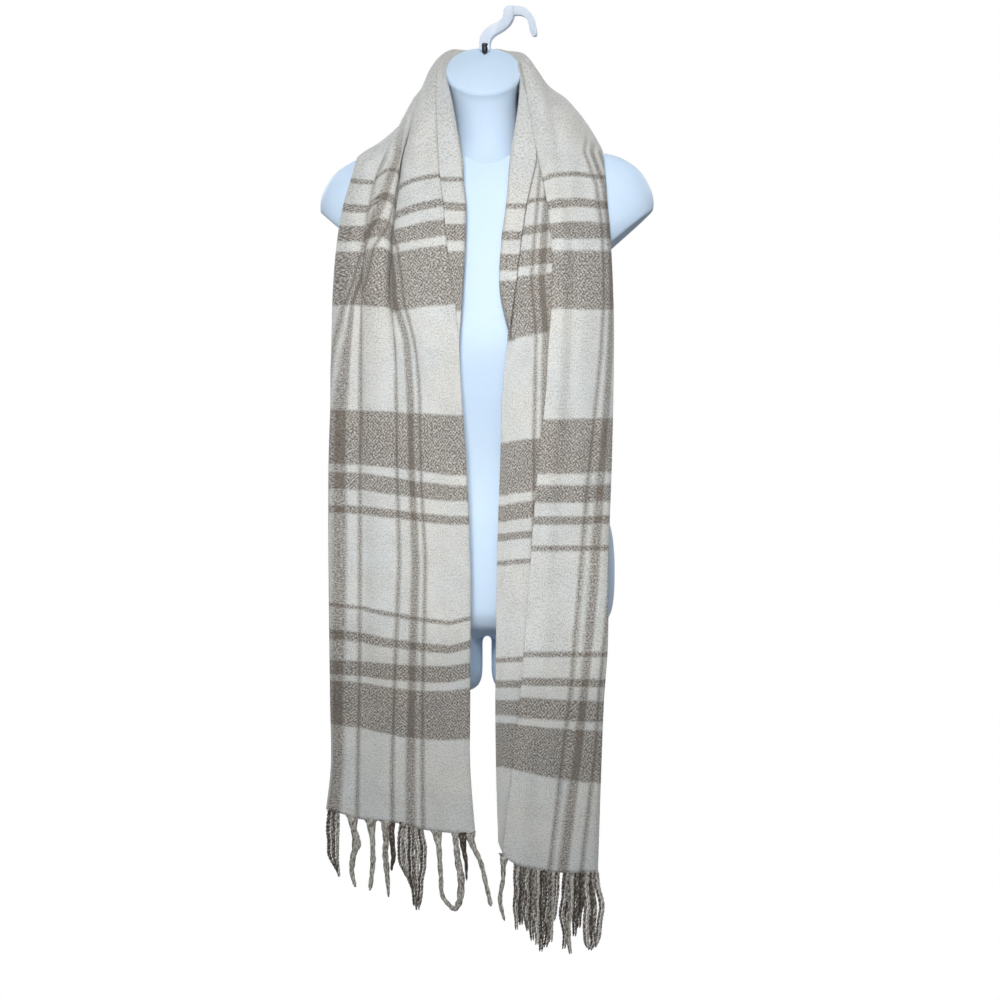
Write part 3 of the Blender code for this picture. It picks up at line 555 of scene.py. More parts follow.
def rightPlace(place, x, drop, foldX, turnX):
    marks = list(zip(lookUp(pattern["rightStripes"], drop), pattern["rightStripeAt"]))
    marks.append((marks[-1][0] + 50, marks[-1][1] + 50))
    under = weftAt(pattern["rightTables"][-1], drop)
    if place < turnAt:
        return pattern["turnWarp"] + (turnAt - place) * 8, under
    if place < foldAt:
        beneath = [(turnX, pattern["turnWarp"]), (lookUp(pattern["rightUnder"], drop), pattern["underWarp"]),
                   (foldX, lookUp(marks, foldX))]
        over = weftAt(pattern["rightTables"][0], drop)
        return lookUp(beneath, x), under + (over - under) * smoothStep((place - 3.5) / 3.5)
    tables = pattern["rightTables"][:-1]
    return lookUp(marks, x), smoothAt(pattern["rightKnots"], [weftAt(table, drop) for table in tables], place)


# Creases: how strong each is at a drop in mm, how far it throws up its sides and how wide.

creases = (
    dict(place=14, strength=((50, 0.5), (110, 1.0), (345, 1.0), (395, 0.1), (400, 0.0)),
         rise=(5.5, 0.0), width=(14, 2), narrow=(1.1, 2.0), floor=1.2, lip=0, reach=6.0),
    dict(place=12, strength=((60, 0.3), (130, 1.0), (330, 1.0), (395, 0.5), (440, 0.0)),
         rise=(11.0, 9.0), width=(12, 20), narrow=(2.6, 3.4), floor=10.0, lip=1, reach=6.0),
    dict(place=10, strength=((90, 0.2), (165, 0.8), (320, 1.0), (460, 0.5), (560, 0.0)),
         rise=(4.0, 9.0), width=(18, 12), narrow=(4.5, 2.2), floor=5.0, lip=1, reach=5.0),
)
slants = namedRows("start end depth width", (
    ((-106, 358), (-70, 468), 3.6, 5.0),
    ((-92, 384), (-62, 560), 1.6, 9.0),
    ((-150, 470), (-146, 820), 1.8, 8.0),
    ((-96, 560), (-100, 900), 1.6, 10.0),
    ((-48, 600), (-38, 930), 1.4, 9.0),
    ((112, 190), (104, 420), 2.0, 12.0),
    ((104, 470), (88, 900), 1.8, 11.0),
    ((134, 420), (118, 960), 1.6, 8.0),
    ((60, 640), (58, 960), 1.4, 9.0),
))


def creaseRelief(row, spots, k, drop):
    lift, slide = 0.0, Vector()
    for crease in creases:
        column = spots.index(crease["place"])
        strength = lookUp(crease["strength"], drop)
        side = 0 if k < column else 1
        toCrease = row[column] - row[k]
        distance = toCrease.length / mm
        wide = math.exp(-distance / crease["width"][side])
        narrow = math.exp(-distance / crease["narrow"][side])
        lift += strength * (crease["rise"][side] * (wide - narrow) - crease["floor"] * narrow)
        if side == crease["lip"] and 0 < distance < 40:
            slide += toCrease.normalized() * strength * crease["reach"] * (math.exp(-distance / 5) - narrow)
    return lift, slide


def slantRelief(x, drop):
    lift = 0.0
    for slant in slants:
        (startX, startDrop), (endX, endDrop) = slant["start"], slant["end"]
        share = (drop - startDrop) / (endDrop - startDrop)
        if -0.15 < share < 1.15:
            ends = smoothStep((share + 0.15) / 0.25) * smoothStep((1.15 - share) / 0.25)
            distance = (x - startX - (endX - startX) * share) / slant["width"]
            lift -= slant["depth"] * ends * math.exp(-distance * distance)
    return lift


def acrossSpots():
    steps, last = scarf["acrossSteps"], len(scarf["columns"]) - 1
    spots = {i / steps for i in range(steps * last + 1)}
    for crease in creases:
        near = (crease["place"] + away for away in (-0.12, -0.06, -0.03, 0.03, 0.06, 0.12))
        spots |= {spot for spot in near if spot < last}
    return sorted(spots)


def buildScarf():
    left, neck, right = scarfSections()
    sections = left + neck + right
    spots = acrossSpots()
    stations = []
    for section in sections:
        points = [section[name] for name in scarf["columns"]]
        stations.append([curvePoint(points, spot) for spot in spots])
    lastLeft, firstRight = len(left) - 1, len(left) + len(neck)
    positions = []
    for i in range(len(stations) - 1):
        length = max((stations[i + 1][k] - stations[i][k]).length for k in range(0, len(spots), 15))
        count = max(2, round(length / mm / scarf["rowGap"]))
        positions += [i + k / count for k in range(count)]
    positions.append(len(stations) - 1)
    columns = list(zip(*stations))
    rows = [[curvePoint(column, position) for column in columns] for position in positions]
    foldColumn, turnColumn = spots.index(foldAt), spots.index(turnAt)
    pattern["leftTables"] = [[(drops[j], at) for at, drops in pattern["leftWeft"]] for j in range(9)]
    pattern["rightTables"] = [[(drops[j], at) for at, drops, _ in pattern["rightWeft"]] for j in range(7)]
    pattern["rightTables"].append([(under, at) for at, _, under in pattern["rightWeft"]])
    nape = pattern["middle"]
    made = {}

    def placeOn(i, k, part):
        if (i, k, part) in made:
            return made[i, k, part]
        position, row = positions[i], rows[i]
        if lastLeft < position < firstRight:
            share = (position - lastLeft) / (firstRight - lastLeft)
            (a, b), (c, d) = placeOn(topLeft, k, part), placeOn(topRight, k, part)
            spot = a + (c - a) * smoothStep((share - 0.35) / 0.4), b + (d - b) * share
        elif position <= lastLeft:
            spot = leftPlace(spots[k], part, -row[k].z / mm)
        else:
            x = [point.x / mm - middleX for point in (row[k], row[foldColumn], row[turnColumn])]
            warp, weft = rightPlace(spots[k], x[0], -row[k].z / mm, x[1], x[2])
            spot = warp, 2 * nape - weft
        made[i, k, part] = spot
        return spot

    topLeft = positions.index(lastLeft)
    topRight = positions.index(firstRight)
    bm = bmesh.new()
    lastRow, lastColumn = len(rows) - 1, len(spots) - 1
    bmesh.ops.create_grid(bm, x_segments=lastColumn, y_segments=lastRow, size=0.5)
    cut = bm.loops.layers.uv.new("cut")
    grid = {vert: (round((vert.co.y + 0.5) * lastRow), round((vert.co.x + 0.5) * lastColumn))
            for vert in bm.verts}
    for face in bm.faces:
        middle = sum(spots[grid[loop.vert][1]] for loop in face.loops) / 4
        part = 0 if middle < creaseBAt else 1 if middle < creaseAAt else 2
        for loop in face.loops:
            across, along = placeOn(*grid[loop.vert], part)
            loop[cut].uv = (across * mm, along * mm)
    for vert, (i, k) in grid.items():
        vert.co = rows[i][k]
    bm.normal_update()
    frontColumn = spots.index(frontAt)
    chest = [vert for vert, (i, k) in grid.items() if k == frontColumn and positions[i] <= lastLeft]
    if sum(vert.normal.y for vert in chest) > 0:
        bmesh.ops.reverse_faces(bm, faces=bm.faces)
        bm.normal_update()
    moved = {}
    for vert, (i, k) in grid.items():
        x, drop = vert.co.x / mm - middleX, -vert.co.z / mm
        over = smoothStep((spots[k] - 7.3) / 1.2)
        lift, slide = 0.0, Vector()
        if over > 0:
            front = 1.0 if positions[i] <= lastLeft else 0.0
            if lastLeft < positions[i] < firstRight:
                front = 1 - smoothStep((positions[i] - lastLeft) / 3.0)
            if front > 0:
                lift, slide = creaseRelief(rows[i], spots, k, drop)
            lift = lift * front + slantRelief(x, drop)
            lift += 1.5 * noise.noise(Vector((x * 0.022, drop * 0.007, 3.0)))
            lift += 0.5 * noise.noise(Vector((x * 0.08, drop * 0.03, 8.0)))
            slide *= front
        moved[vert] = (vert.normal * lift + slide) * over * mm
    for vert, move in moved.items():
        vert.co += move
    mesh = meshFrom(bm, "scarf")
    piece = addPiece("scarf", mesh, plaidMaterial("brushedPlaid", nape),
                     ("scarf_left_end", "scarf_neck_stretch", "scarf_right_end"))
    wall = piece.modifiers.new("wall", "SOLIDIFY")
    wall.thickness = scarf["wall"] * mm
    wall.offset = 0.0
    print("scarf", len(mesh.polygons), "faces")
    return piece, left[0], right[-1]


# The fringe: ropes twisted from two plies. Each has its place across in mm, the points that it hangs through
# (place across, distance below the hem), its width at each and its tone from pale to dark.

fringe = dict(
    ringGap=1.5, plySides=6, rootFall=7.5,
    felted=dict(turn=26.0, offset=0.20, width=0.86, depth=0.70, step=0.04, flare=1.5, sway=1.4,
                cords=1, spread=0.0),
    braided=dict(turn=8.0, offset=0.34, width=0.74, depth=0.80, step=0.10, flare=0.25, sway=2.2,
                 cords=2, spread=0.26),
    left=namedRows("path width tone lay", (
        (((-186, 0), (-188, 30), (-185.5, 52), (-178, 79)), (9, 10, 9, 3), 0.62, "braided"),
        (((-181, 0), (-181, 28), (-181, 50), (-177.5, 78)), (9, 9, 8, 3), 0.50, "braided"),
        (((-161, 0), (-159, 18), (-156, 34), (-161, 50), (-162, 62), (-157.5, 84)),
         (9, 8, 10, 7, 6.5, 5.5), 0.30),
        (((-139, 0), (-137, 34), (-136, 52), (-140.5, 84)), (9, 6.5, 6.5, 6), 0.28),
        (((-120.5, 0), (-121.5, 24), (-120.5, 50), (-118, 90)), (9, 8, 8, 3.5), 0.38),
        # a short near-black rope: painted shade beside the rope before it
        (((-115, 0), (-112.5, 38), (-113.5, 58)), (6, 7, 3), 0.92),
        (((-101, 0), (-104, 30), (-101, 50), (-95, 62)), (7, 8, 7, 4), 0.60, "braided"),
        (((-96, 0), (-98, 32), (-95, 55), (-88, 80)), (7, 8, 7, 5), 0.30, "braided"),
        (((-91, 0), (-91, 30), (-90, 60), (-85, 95)), (7, 8, 7, 6), 0.78, "braided"),
        (((-86, 0), (-84, 30), (-84, 60), (-83, 99)), (7, 8, 7, 6), 0.36, "braided"),
        (((-80, 0), (-76, 32), (-78, 60), (-82, 93)), (7, 8, 7, 6), 0.66, "braided"),
        (((-60, 0), (-58, 22), (-55.5, 50), (-53.5, 76), (-46, 89), (-38.6, 94), (-33.5, 86), (-31, 61),
          (-35, 36), (-37, 14), (-38, 0)),
         (9, 7, 6.5, 6, 6, 7, 9, 10, 9, 8, 9), 0.30),
        (((-29, 0), (-26.5, 28), (-23.5, 55)), (8, 6, 2.5), 0.97),
        (((-21.5, 0), (-15.5, 18), (-5.6, 38), (0, 66), (5.4, 85)), (9, 7, 6.5, 6, 6), 0.30),
    )),
    leftUnder=namedRows("path width tone lay", (
        (((-160, 0), (-159, 30), (-160, 62)), (8, 6, 5), 0.45),
        (((-139, 0), (-137, 34), (-138, 66)), (8, 6, 5), 0.45),
    )),
    right=namedRows("path width tone lay", (
        (((21.5, 0), (19, 26), (16, 57), (21.5, 78)), (8, 6, 6, 3), 0.34, "felted"),
        (((36, 0), (34.5, 40), (35.5, 78)), (7.5, 7, 4), 0.45),
        (((42, 0), (40, 40), (41, 70)), (7, 7.5, 5), 0.85),
        (((48, 0), (46.5, 42), (48, 76)), (7, 7.5, 5), 0.50),
        (((54, 0), (52.5, 45), (54, 86)), (7, 7.5, 5), 0.70),
        (((60, 0), (59, 48), (60, 90)), (7, 7.5, 5), 0.28),
        (((66, 0), (65.5, 48), (66, 97)), (7, 7.5, 5), 0.90),
        (((72, 0), (71.5, 46), (71, 91)), (7, 7.5, 6), 0.72),
        (((78, 0), (77, 44), (76, 84)), (7, 7.5, 5), 0.40),
        (((84, 0), (82, 34), (80, 58)), (7, 7, 5), 0.62),
        (((95, 0), (91, 42), (93, 91)), (7.5, 7.5, 5), 0.62),
        (((101, 0), (99, 45), (97, 80), (101, 97)), (7, 8, 6, 4), 0.32),
        (((107, 0), (106, 42), (104, 76)), (7, 8, 5), 0.80),
        (((113, 0), (112, 38), (110, 66)), (7, 8, 5), 0.94),
        (((119, 0), (119, 40), (119, 75), (121, 90)), (7, 8, 8, 5), 0.34),
        (((125, 0), (127, 40), (127, 75), (124, 93)), (7, 8, 8, 6), 0.66),
        (((130, 0), (136.5, 42), (134, 74), (128, 89)), (7, 7, 7, 5), 0.44),
    )),
    # the under layer's ropes; their near-black tone is painted shade in the gaps between the ropes in front
    rightUnder=namedRows("path width tone lay", (
        (((40, 0), (38, 40), (39, 70)), (8, 8, 5), 0.9),
        (((52, 0), (50, 40), (51, 74)), (8, 8, 5), 0.9),
        (((64, 0), (62, 40), (63, 84)), (8, 8, 5), 0.95),
        (((76, 0), (75, 40), (74, 80)), (8, 8, 5), 0.9),
        (((98, 0), (96, 40), (97, 80)), (8, 8, 5), 0.9),
        (((110, 0), (109, 40), (108, 62)), (8, 8, 5), 0.95),
        (((123, 0), (125, 40), (124, 78)), (8, 8, 5), 0.9),
    )),
)


def hemPoint(section, columns, x):
    points = sorted((section[name] for name in columns), key=lambda point: point.x)
    wanted = (middleX + x) * mm
    for low, high in zip(points, points[1:]):
        if wanted <= high.x or high is points[-1]:
            share = min(max((wanted - low.x) / (high.x - low.x), 0.0), 1.0)
            return low.lerp(high, share)


def sweepTube(bm, rings, sides, tone, toneLayer):
    made = bmesh.ops.create_circle(bm, cap_ends=True, radius=1.0, segments=sides)["verts"]
    shape = [vert.co.copy() for vert in made]
    cap = made[0].link_faces[0]
    for index, (centre, wide, deep) in enumerate(rings):
        if index > 0:
            cap = bmesh.ops.extrude_discrete_faces(bm, faces=[cap])["faces"][0]
        for vert, place in zip(cap.verts, shape):
            vert.co = centre + wide * place.x + deep * place.y
            vert[toneLayer] = tone


def twistedRope(bm, root, rope, lay, phase, toneLayer):
    path = [Vector((x, 0.0, -below)) for x, below in rope["path"]]
    widths = [Vector((width, 0.0, 0.0)) for width in rope["width"]]
    length = sum((second - first).length for first, second in zip(path, path[1:]))
    count = max(8, round(length / fringe["ringGap"]))
    line = [curvePoint(path, (len(path) - 1) * k / count) for k in range(count + 1)]
    across, deep = [], Vector((0.0, 1.0, 0.0))
    for k in range(count + 1):
        run = (line[min(k + 1, count)] - line[max(k - 1, 0)]).normalized()
        across.append(run.cross(deep) * -1)
    for cord in range(lay["cords"]):
        aside = (cord * 2 - 1) * lay["spread"] * 2 if lay["cords"] > 1 else 0.0
        cordTone = rope["tone"] + (cord - 0.5) * 0.34 * (lay["cords"] - 1)
        for ply in (0, 1):
            rings = []
            for k, centre in enumerate(line):
                half = curvePoint(widths, (len(path) - 1) * k / count).x / 2
                flare = 1 + lay["flare"] * math.exp(-k * fringe["ringGap"] / fringe["rootFall"])
                angle = phase + cord * 2.1 + 2 * math.pi * k / count * length / lay["turn"] + math.pi * ply
                thin = half / lay["cords"] * (1.12 if lay["cords"] > 1 else 1.0)
                offset = across[k] * half * aside
                wave = noise.noise(Vector((k * 0.07, phase, 5.0)))
                offset += across[k] * lay["sway"] * min(k / 12, 1.0) * wave
                sunk = min(0.28 + 0.14 * k, 1.0)   # the root starts inside the cloth's wall
                offset += (across[k] * math.cos(angle) + deep * math.sin(angle) * sunk) * thin * lay["offset"]
                spot = root + (centre - path[0] + offset + Vector((0.0, 0.0, 2.5 * (1 - k / count)))) * mm
                taper = 1.0 if k < count - 1 else 0.5
                rings.append((spot, across[k] * max(thin * flare * lay["width"] * taper, 0.4) * mm,
                              deep * max(thin * lay["depth"] * taper * sunk, 0.4) * mm))
            sweepTube(bm, rings, fringe["plySides"], cordTone + lay["step"] * (1 if ply else -1), toneLayer)


def yarnMaterial(name):
    material, tree, shader = startMaterial(name)
    spot = addNode(tree, "ShaderNodeTexCoord").outputs["Object"]
    tone = addNode(tree, "ShaderNodeAttribute", attribute_name="tone").outputs["Fac"]
    strands = addNode(tree, "ShaderNodeMapping", {"Vector": spot, "Scale": (1.0, 1.0, 0.4)}).outputs["Vector"]
    streak = noiseNode(tree, strands, 620.0, 3.0, 0.6)
    share = mathNode(tree, "ADD", tone, scaled(tree, streak, 3.0, -1.34), clamp=True)
    colour = mixColour(tree, share, (0.60, 0.58, 0.53, 1.0), (0.060, 0.046, 0.036, 1.0))
    bump = addNode(tree, "ShaderNodeBump", {"Height": streak, "Strength": 0.6, "Distance": 0.0008})
    setInputs(tree, shader, {"Base Color": colour, "Roughness": 0.95, "Specular IOR Level": 0.12,
                             "Sheen Weight": 0.25, "Normal": bump.outputs["Normal"]})
    return material


def buildFringe(name, node, section, side, material):
    bm = bmesh.new()
    bm.verts.layers.float.new("tone")
    layers = (side, foldAt + 1, None), (side + "Under", turnAt + 1, foldAt)
    for ropes, first, last in layers:
        for rope in fringe[ropes]:
            root = hemPoint(section, scarf["columns"][first:last], rope["path"][0][0])
            lay = fringe[rope.get("lay", "felted" if side == "left" else "braided")]
            strand = bmesh.new()
            phase = random.uniform(0, 6.28)
            twistedRope(strand, root, rope, lay, phase, strand.verts.layers.float.new("tone"))
            scratch = meshFrom(strand, "strand")
            bm.from_mesh(scratch)
            bpy.data.meshes.remove(scratch)
    bmesh.ops.recalc_face_normals(bm, faces=bm.faces)
    piece = addPiece(name, meshFrom(bm, name), material, (node,))
    print(name, len(piece.data.polygons), "faces")
    return piece


# The torso form: one smooth moulding.

form = dict(
    ringPoints=72, ringsBetween=3, voxel=3.0, relaxSteps=8, middleY=-23.0, shoulderTilt=2.2,
    torso=(
        (157, 54, -38, -10), (162, 96, -44, -6), (167, 134, -50, -1), (172, 158, -55, 5), (179, 171, -60, 11),
        (189, 184, -66, 18), (203, 193.5, -73, 26), (218, 199.5, -79, 32), (231, 200.5, -83, 35),
        (246, 197.5, -88, 39), (262, 184, -93, 43), (280, 163, -98, 46), (298, 144, -103, 48),
        (320, 132, -110, 49), (350, 124, -118, 51), (395, 119, -124, 51),
        (440, 112, -116, 48), (490, 105, -104, 43), (540, 105, -95, 42), (580, 130, -95, 46),
        (612, 148, -98, 53), (645, 153, -100, 58), (680, 153.5, -101, 60), (704, 152, -101, 60),
        (722, 147, -99, 58), (737, 124, -88, 48), (745, 84, -66, 26),
    ),
    stumpLine=((188, 249), (154.8, 277.8)), stumpBack=25.0, stumpLean=dict(left=0.0, right=0.14),
    stumpShift=dict(left=-1.2, right=1.6),
    stumpReach=(128.0, 144.0), stumpFloor=320.0,   # x where a stump's flat cut fades in, and its lowest drop
    neck=(
        (196, -22, 46, 36, 0.0), (170, -22, 43, 38, 0.0), (150, -21, 39, 37, 4.0), (125, -21, 37.5, 37, 14.0),
        (100, -22, 39, 39, 25.0), (80, -24, 42.5, 42, 34.0), (73, -24.5, 44.6, 44.6, 36.5),
        (70.5, -25, 45.2, 45.2, 36.5), (67, -25, 45.2, 45.2, 36.5), (65.4, -25, 44.4, 44.4, 36.5),
    ),
    thigh=(
        (640, 24, 126, -80, 28), (690, 9, 142, -98, 45), (718, 6, 145, -98, 51), (745, 5.4, 145, -94, 53),
        (775, 5.2, 144, -89, 52), (794, 6, 140, -85, 49), (806, 11, 131, -79, 44), (812.5, 23, 118, -68, 32),
    ),
    neckLean=4.0,
)


def plasticMaterial(name, colour, deep, roughness, gloss):
    material, tree, shader = startMaterial(name)
    spot = addNode(tree, "ShaderNodeTexCoord").outputs["Object"]
    cloud = noiseNode(tree, spot, 9.0, 3.0)
    grain = noiseNode(tree, spot, 900.0, 2.0)
    bump = addNode(tree, "ShaderNodeBump", {"Height": grain, "Strength": 0.12, "Distance": 0.0004})
    setInputs(tree, shader, {"Base Color": mixColour(tree, cloud, colour, deep),
                             "Roughness": scaled(tree, grain, 0.12, roughness - 0.06),
                             "Specular IOR Level": gloss, "Subsurface Weight": 0.25,
                             "Subsurface Radius": (0.01, 0.012, 0.015), "Subsurface Scale": 0.3,
                             "Normal": bump.outputs["Normal"]})
    return material


def addRing(bm, points):
    made = bmesh.ops.create_circle(bm, cap_ends=False, radius=1.0, segments=len(points))["verts"]
    for vert, point in zip(made, points):
        vert.co = point
    return list({edge for vert in made for edge in vert.link_edges})


def ringPath(bm, rows, shape):
    points = form["ringPoints"]
    columns = list(zip(*[[shape(row, 2 * math.pi * i / points) for i in range(points)] for row in rows]))
    count = (len(rows) - 1) * form["ringsBetween"]
    places = [k / form["ringsBetween"] for k in range(count + 1)]
    return [addRing(bm, [curvePoint(column, place) for column in columns]) for place in places]


def skin(bm, loops):
    bmesh.ops.contextual_create(bm, geom=loops[0])
    bmesh.ops.contextual_create(bm, geom=loops[-1])
    for lower, upper in zip(loops, loops[1:]):
        bmesh.ops.bridge_loops(bm, edges=lower + upper)


def torsoPoint(row, angle):
    drop, halfWidth, front, back = row
    middle = form["middleY"]
    depth = back - middle if math.sin(angle) > 0 else middle - front
    raised = form["shoulderTilt"] * math.cos(angle) * smoothStep((300 - drop) / 60)
    return atPoint(halfWidth * math.cos(angle), middle + depth * math.sin(angle), drop - raised)


def neckPoint(row, angle):
    drop, axisY, halfWidth, halfDepth, slant = row
    tilt = math.radians(slant)
    along = halfDepth * math.sin(angle)
    lean = -form["neckLean"] * smoothStep((150 - drop) / 70)
    x = lean + halfWidth * math.cos(angle)
    return atPoint(x, axisY + along * math.cos(tilt), drop - along * math.sin(tilt))


def thighPoint(row, angle):
    drop, inner, outer, front, back = row
    return atPoint((inner + outer) / 2 + (outer - inner) / 2 * math.cos(angle),
                   (front + back) / 2 + (back - front) / 2 * math.sin(angle), drop)


def flattenStump(bm, sign, lean, shift):
    (outerX, outerDrop), (innerX, innerDrop) = form["stumpLine"]
    outer = atPoint(sign * outerX, form["stumpBack"], outerDrop)
    line = atPoint(sign * innerX, form["stumpBack"], innerDrop) - outer
    normal = line.cross(Vector((0.0, 1.0, -lean))).normalized() * sign
    outer += normal * shift * mm
    low, high = form["stumpReach"]
    for vert in bm.verts:
        beyond = normal.dot(vert.co - outer)
        if beyond > 0 and vert.co.z > -form["stumpFloor"] * mm:
            x = sign * (vert.co.x / mm - middleX)
            vert.co -= normal * beyond * smoothStep((x - low) / (high - low))


def buildForm(material):
    bm = bmesh.new()
    skin(bm, ringPath(bm, form["torso"], torsoPoint))
    thigh = bmesh.new()
    skin(thigh, ringPath(thigh, form["thigh"], thighPoint))
    scratch = meshFrom(thigh, "thigh")
    bm.from_mesh(scratch)
    bm.from_mesh(scratch)
    half = len(scratch.vertices)
    bm.verts.ensure_lookup_table()
    for vert in bm.verts[-half:]:
        vert.co.x = 2 * middleX * mm - vert.co.x
    bpy.data.meshes.remove(scratch)
    bmesh.ops.recalc_face_normals(bm, faces=bm.faces)
    piece = addPiece("torsoForm", meshFrom(bm, "torsoForm"), material, ("torso_form",))
    remesh = piece.modifiers.new("remesh", "REMESH")
    remesh.mode = "VOXEL"
    remesh.voxel_size = form["voxel"] * mm
    relax = piece.modifiers.new("relax", "SMOOTH")
    relax.factor, relax.iterations = 0.5, form["relaxSteps"]
    solid = bpy.data.meshes.new_from_object(piece.evaluated_get(bpy.context.evaluated_depsgraph_get()))
    piece.modifiers.clear()
    bm = bmesh.new()
    bm.from_mesh(solid)
    for side, sign in (("left", -1), ("right", 1)):
        flattenStump(bm, sign, form["stumpLean"][side], form["stumpShift"][side])
    bm.to_mesh(solid)
    bm.free()
    piece.data = solid
    solid.shade_smooth()
    print("torso form", len(solid.polygons), "faces")
    return piece


def buildNeck(material):
    bm = bmesh.new()
    skin(bm, ringPath(bm, form["neck"], neckPoint))
    bmesh.ops.recalc_face_normals(bm, faces=bm.faces)
    piece = addPiece("neckCap", meshFrom(bm, "neckCap"), material)
    piece.data.set_sharp_from_angle(angle=math.radians(50))
    print("neck", len(piece.data.polygons), "faces")
    return piece


# The hook: a flat moulded band in two steps, with a ribbed pin in its fork. Edges in x and height.

hook = dict(
    stem=((-47.6, -40.6), (-47.8, -31.8), (-46.6, -25.2), (-42.6, -18.6), (-37.6, -13.8), (-31.8, -10.1),
          (-24.1, -6.6), (-20.5, -3), (-18.6, 1.8), (-18.1, 7.2), (-15.9, 10.7), (-12.2, 12.1), (-6.2, 11.9),
          (-6.1, 5.4), (-6.6, -0.4), (-8.5, -5.6), (-11.6, -10.2), (-16.4, -14.8), (-22.4, -18.8),
          (-28.4, -22.4), (-32.5, -26.3), (-34.4, -30), (-35, -40.6), (-37.2, -40.6), (-37.2, -33.2),
          (-44.4, -33.2), (-44.4, -40.6)),
    arch=((-9.2, 12.1), (-4.4, 11.9), (1.6, 11.4), (7.6, 9.2), (12.4, 5.6), (16, 1.1), (18.4, -4.2),
          (19.7, -9.6), (20.6, -15), (21.4, -19.8), (20.9, -23.2), (18.4, -24.6), (15.5, -23.2),
          (13.7, -19.8), (12.4, -15), (11.7, -10.2), (10.6, -5.9), (7.8, -2.2), (4, 0.2),
          (-0.4, 1), (-5.6, 0.7), (-9.2, 0.4)),
    stemFront=-3.0, archFront=-2.0, stemBack=(1.7, 6.2, -2.4), archBack=(1.3, 4.6, -1.5), edgeRound=0.5,
    pinX=-40.8, pinSides=24,
    pin=((32.5, 2.6), (33.2, 3.3), (35.0, 3.5), (36.4, 3.3), (37.2, 2.7), (38.0, 3.3), (39.4, 3.5),
         (41.0, 3.6), (43.4, 3.4), (45.2, 2.6), (46.4, 1.2)),   # drop and radius of its ribs
)


def plateFrom(bm, outline, front, back):
    ring = bmesh.ops.create_circle(bm, cap_ends=True, radius=1.0, segments=len(outline))["verts"]
    face = ring[0].link_faces[0]
    for vert, (x, height) in zip(face.verts, outline):
        vert.co = Vector((x, front, height)) * mm
    made = bmesh.ops.extrude_face_region(bm, geom=[face], use_keep_orig=True)["geom"]
    verts = [item for item in made if isinstance(item, bmesh.types.BMVert)]
    bmesh.ops.translate(bm, verts=verts, vec=Vector(back) * mm)
    bmesh.ops.bevel(bm, geom=list(face.edges), offset=hook["edgeRound"] * mm, offset_type="OFFSET",
                    segments=2, profile=0.5, affect="EDGES", material=-1)


def roundedEdge(outline, steps=3):
    points = [Vector((x, 0.0, height)) for x, height in outline]
    return [(point.x, point.z) for point in (curvePoint(points, k / steps)
                                             for k in range((len(points) - 1) * steps + 1))]


def buildHook(material):
    bm = bmesh.new()
    edge = hook["stem"]
    plateFrom(bm, roundedEdge(edge[:13]) + roundedEdge(edge[13:23]) + list(edge[23:]), hook["stemFront"],
              hook["stemBack"])
    plateFrom(bm, roundedEdge(hook["arch"]), hook["archFront"], hook["archBack"])
    bmesh.ops.recalc_face_normals(bm, faces=bm.faces)
    piece = addPiece("hangerHook", meshFrom(bm, "hangerHook"), material, ("hanger_hook",))
    piece.data.set_sharp_from_angle(angle=math.radians(35))
    print("hook", len(piece.data.polygons), "faces")
    return piece


def buildPin(material):
    bm = bmesh.new()
    rings = []
    for drop, radius in hook["pin"]:
        made = bmesh.ops.create_circle(bm, radius=radius * mm, segments=hook["pinSides"])["verts"]
        bmesh.ops.translate(bm, verts=made, vec=Vector((hook["pinX"], 0.0, -drop)) * mm)
        rings.append(list({edge for vert in made for edge in vert.link_edges}))
    skin(bm, rings)
    bmesh.ops.recalc_face_normals(bm, faces=bm.faces)
    piece = addPiece("hookPin", meshFrom(bm, "hookPin"), material, ("hook_pin",))
    print("pin", len(piece.data.polygons), "faces")
    return piece


# Stage, light and camera

stage = dict(
    viewX=-22.4, viewDrop=582.6, clothY=-60.0, distance=28000.0, viewWidth=1200.0,
    floorDrop=2300.0, floorSize=4.0, floorGlow=0.45,
    world=(0.11, 0.19),   # strength: the gain from side to top and the level at the side
    lamps=namedRows("name at aim size power spread", (
        ("keyLight", (-0.25, -3.0, 0.95), (0.04, -0.1, -0.46), 0.8, 4.5, 36),
        ("fillLight", (0.6, -3.3, -0.2), (0.06, -0.1, -0.55), 1.6, 0.8, 44),
        ("backLightLeft", (-2.2, 2.4, 0.9), (0.0, 0.0, -0.5), 1.2, 7.0, 60),
        ("backLightRight", (2.2, 2.4, 0.9), (0.0, 0.0, -0.5), 1.2, 6.0, 60),
    )),
)


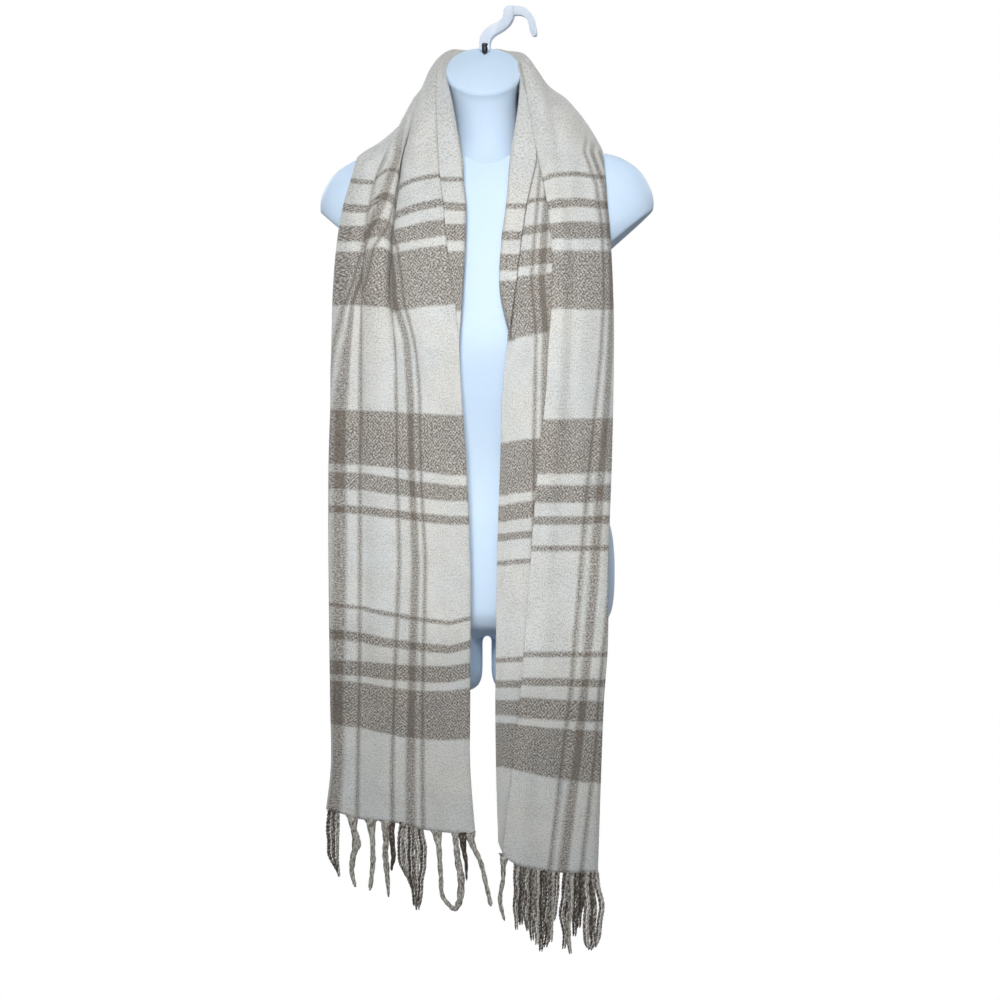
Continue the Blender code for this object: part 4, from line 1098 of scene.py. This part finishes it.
def buildStage():
    material, tree, shader = startMaterial("palePaper")
    seen = addNode(tree, "ShaderNodeLightPath").outputs["Is Camera Ray"]   # the glow lights nothing
    spot = addNode(tree, "ShaderNodeTexCoord").outputs["Object"]
    bump = addNode(tree, "ShaderNodeBump", {"Height": noiseNode(tree, spot, 300.0), "Strength": 0.02})
    setInputs(tree, shader, {"Base Color": (0.84, 0.84, 0.84, 1.0), "Roughness": 0.9,
                             "Emission Color": (1.0, 1.0, 1.0, 1.0),
                             "Emission Strength": times(tree, seen, stage["floorGlow"]),
                             "Normal": bump.outputs["Normal"]})
    bm = bmesh.new()
    bmesh.ops.create_grid(bm, x_segments=2, y_segments=2, size=stage["floorSize"] / 2)
    bmesh.ops.translate(bm, verts=bm.verts, vec=(0.0, 0.0, -stage["floorDrop"] * mm))
    mesh = meshFrom(bm, "paleFloor")
    mesh.materials.append(material)
    floor = addObject("paleFloor", mesh)

    world = bpy.data.worlds.new("studio")
    bpy.context.scene.world = world
    world.use_nodes = True
    sky = world.node_tree
    spot = addNode(sky, "ShaderNodeTexCoord").outputs["Generated"]
    toward = addNode(sky, "ShaderNodeSeparateXYZ", {"Vector": spot})
    soft = sky.nodes["Background"]
    strength = scaled(sky, toward.outputs["Z"], *stage["world"])
    setInputs(sky, soft, {"Color": (0.93, 0.96, 1.0, 1.0), "Strength": strength})
    white = addNode(sky, "ShaderNodeBackground", {"Color": (1.0, 1.0, 1.0, 1.0), "Strength": 1.0})
    seen = addNode(sky, "ShaderNodeLightPath").outputs["Is Camera Ray"]
    backdrop = addNode(sky, "ShaderNodeMixShader", {0: seen, 1: soft.outputs[0], 2: white.outputs[0]})
    setInputs(sky, sky.nodes["World Output"], {"Surface": backdrop.outputs["Shader"]})
    for lamp in stage["lamps"]:
        data = bpy.data.lights.new(lamp["name"], "AREA")
        data.shape, data.size, data.energy = "DISK", lamp["size"], lamp["power"]
        data.spread = math.radians(lamp["spread"])
        light = addObject(lamp["name"], data)
        light.location = lamp["at"]
        light.rotation_euler = (Vector(lamp["aim"]) - light.location).to_track_quat("-Z", "Y").to_euler()

    data = bpy.data.cameras.new("camera")
    data.sensor_width = 36.0
    data.lens = data.sensor_width * stage["distance"] / stage["viewWidth"]
    camera = addObject("camera", data)
    camera.location = Vector((stage["viewX"], stage["clothY"] - stage["distance"], -stage["viewDrop"])) * mm
    camera.rotation_euler = (math.pi / 2, 0.0, 0.0)
    bpy.context.scene.camera = camera
    bpy.context.scene.view_settings.view_transform = "Standard"
    print("stage", len(stage["lamps"]), "lamps")


buildStage()
paleBlue = plasticMaterial("paleBluePlastic", (0.645, 0.785, 0.955, 1.0), (0.61, 0.755, 0.935, 1.0),
                           0.6, 0.25)
hookBlue = plasticMaterial("hookPlastic", (0.72, 0.79, 0.89, 1.0), (0.69, 0.765, 0.87, 1.0), 0.45, 0.35)
darkSteel, steelTree, steelShader = startMaterial("darkSteel")
steelSpot = addNode(steelTree, "ShaderNodeTexCoord").outputs["Object"]
steelShade = scaled(steelTree, noiseNode(steelTree, steelSpot, 1200.0), 0.3, 0.25)
setInputs(steelTree, steelShader, {"Metallic": 0.9, "Base Color": (0.07, 0.07, 0.08, 1.0),
                                   "Roughness": steelShade})

torsoForm = buildForm(paleBlue)
neckCap = buildNeck(paleBlue)
scarfPiece, leftHem, rightHem = buildScarf()
yarn = yarnMaterial("twistedYarn")
leftFringe = buildFringe("leftFringe", "fringe_left", leftHem, "left", yarn)
rightFringe = buildFringe("rightFringe", "fringe_right", rightHem, "right", yarn)
hangerHook = buildHook(hookBlue)
hookPin = buildPin(darkSteel)
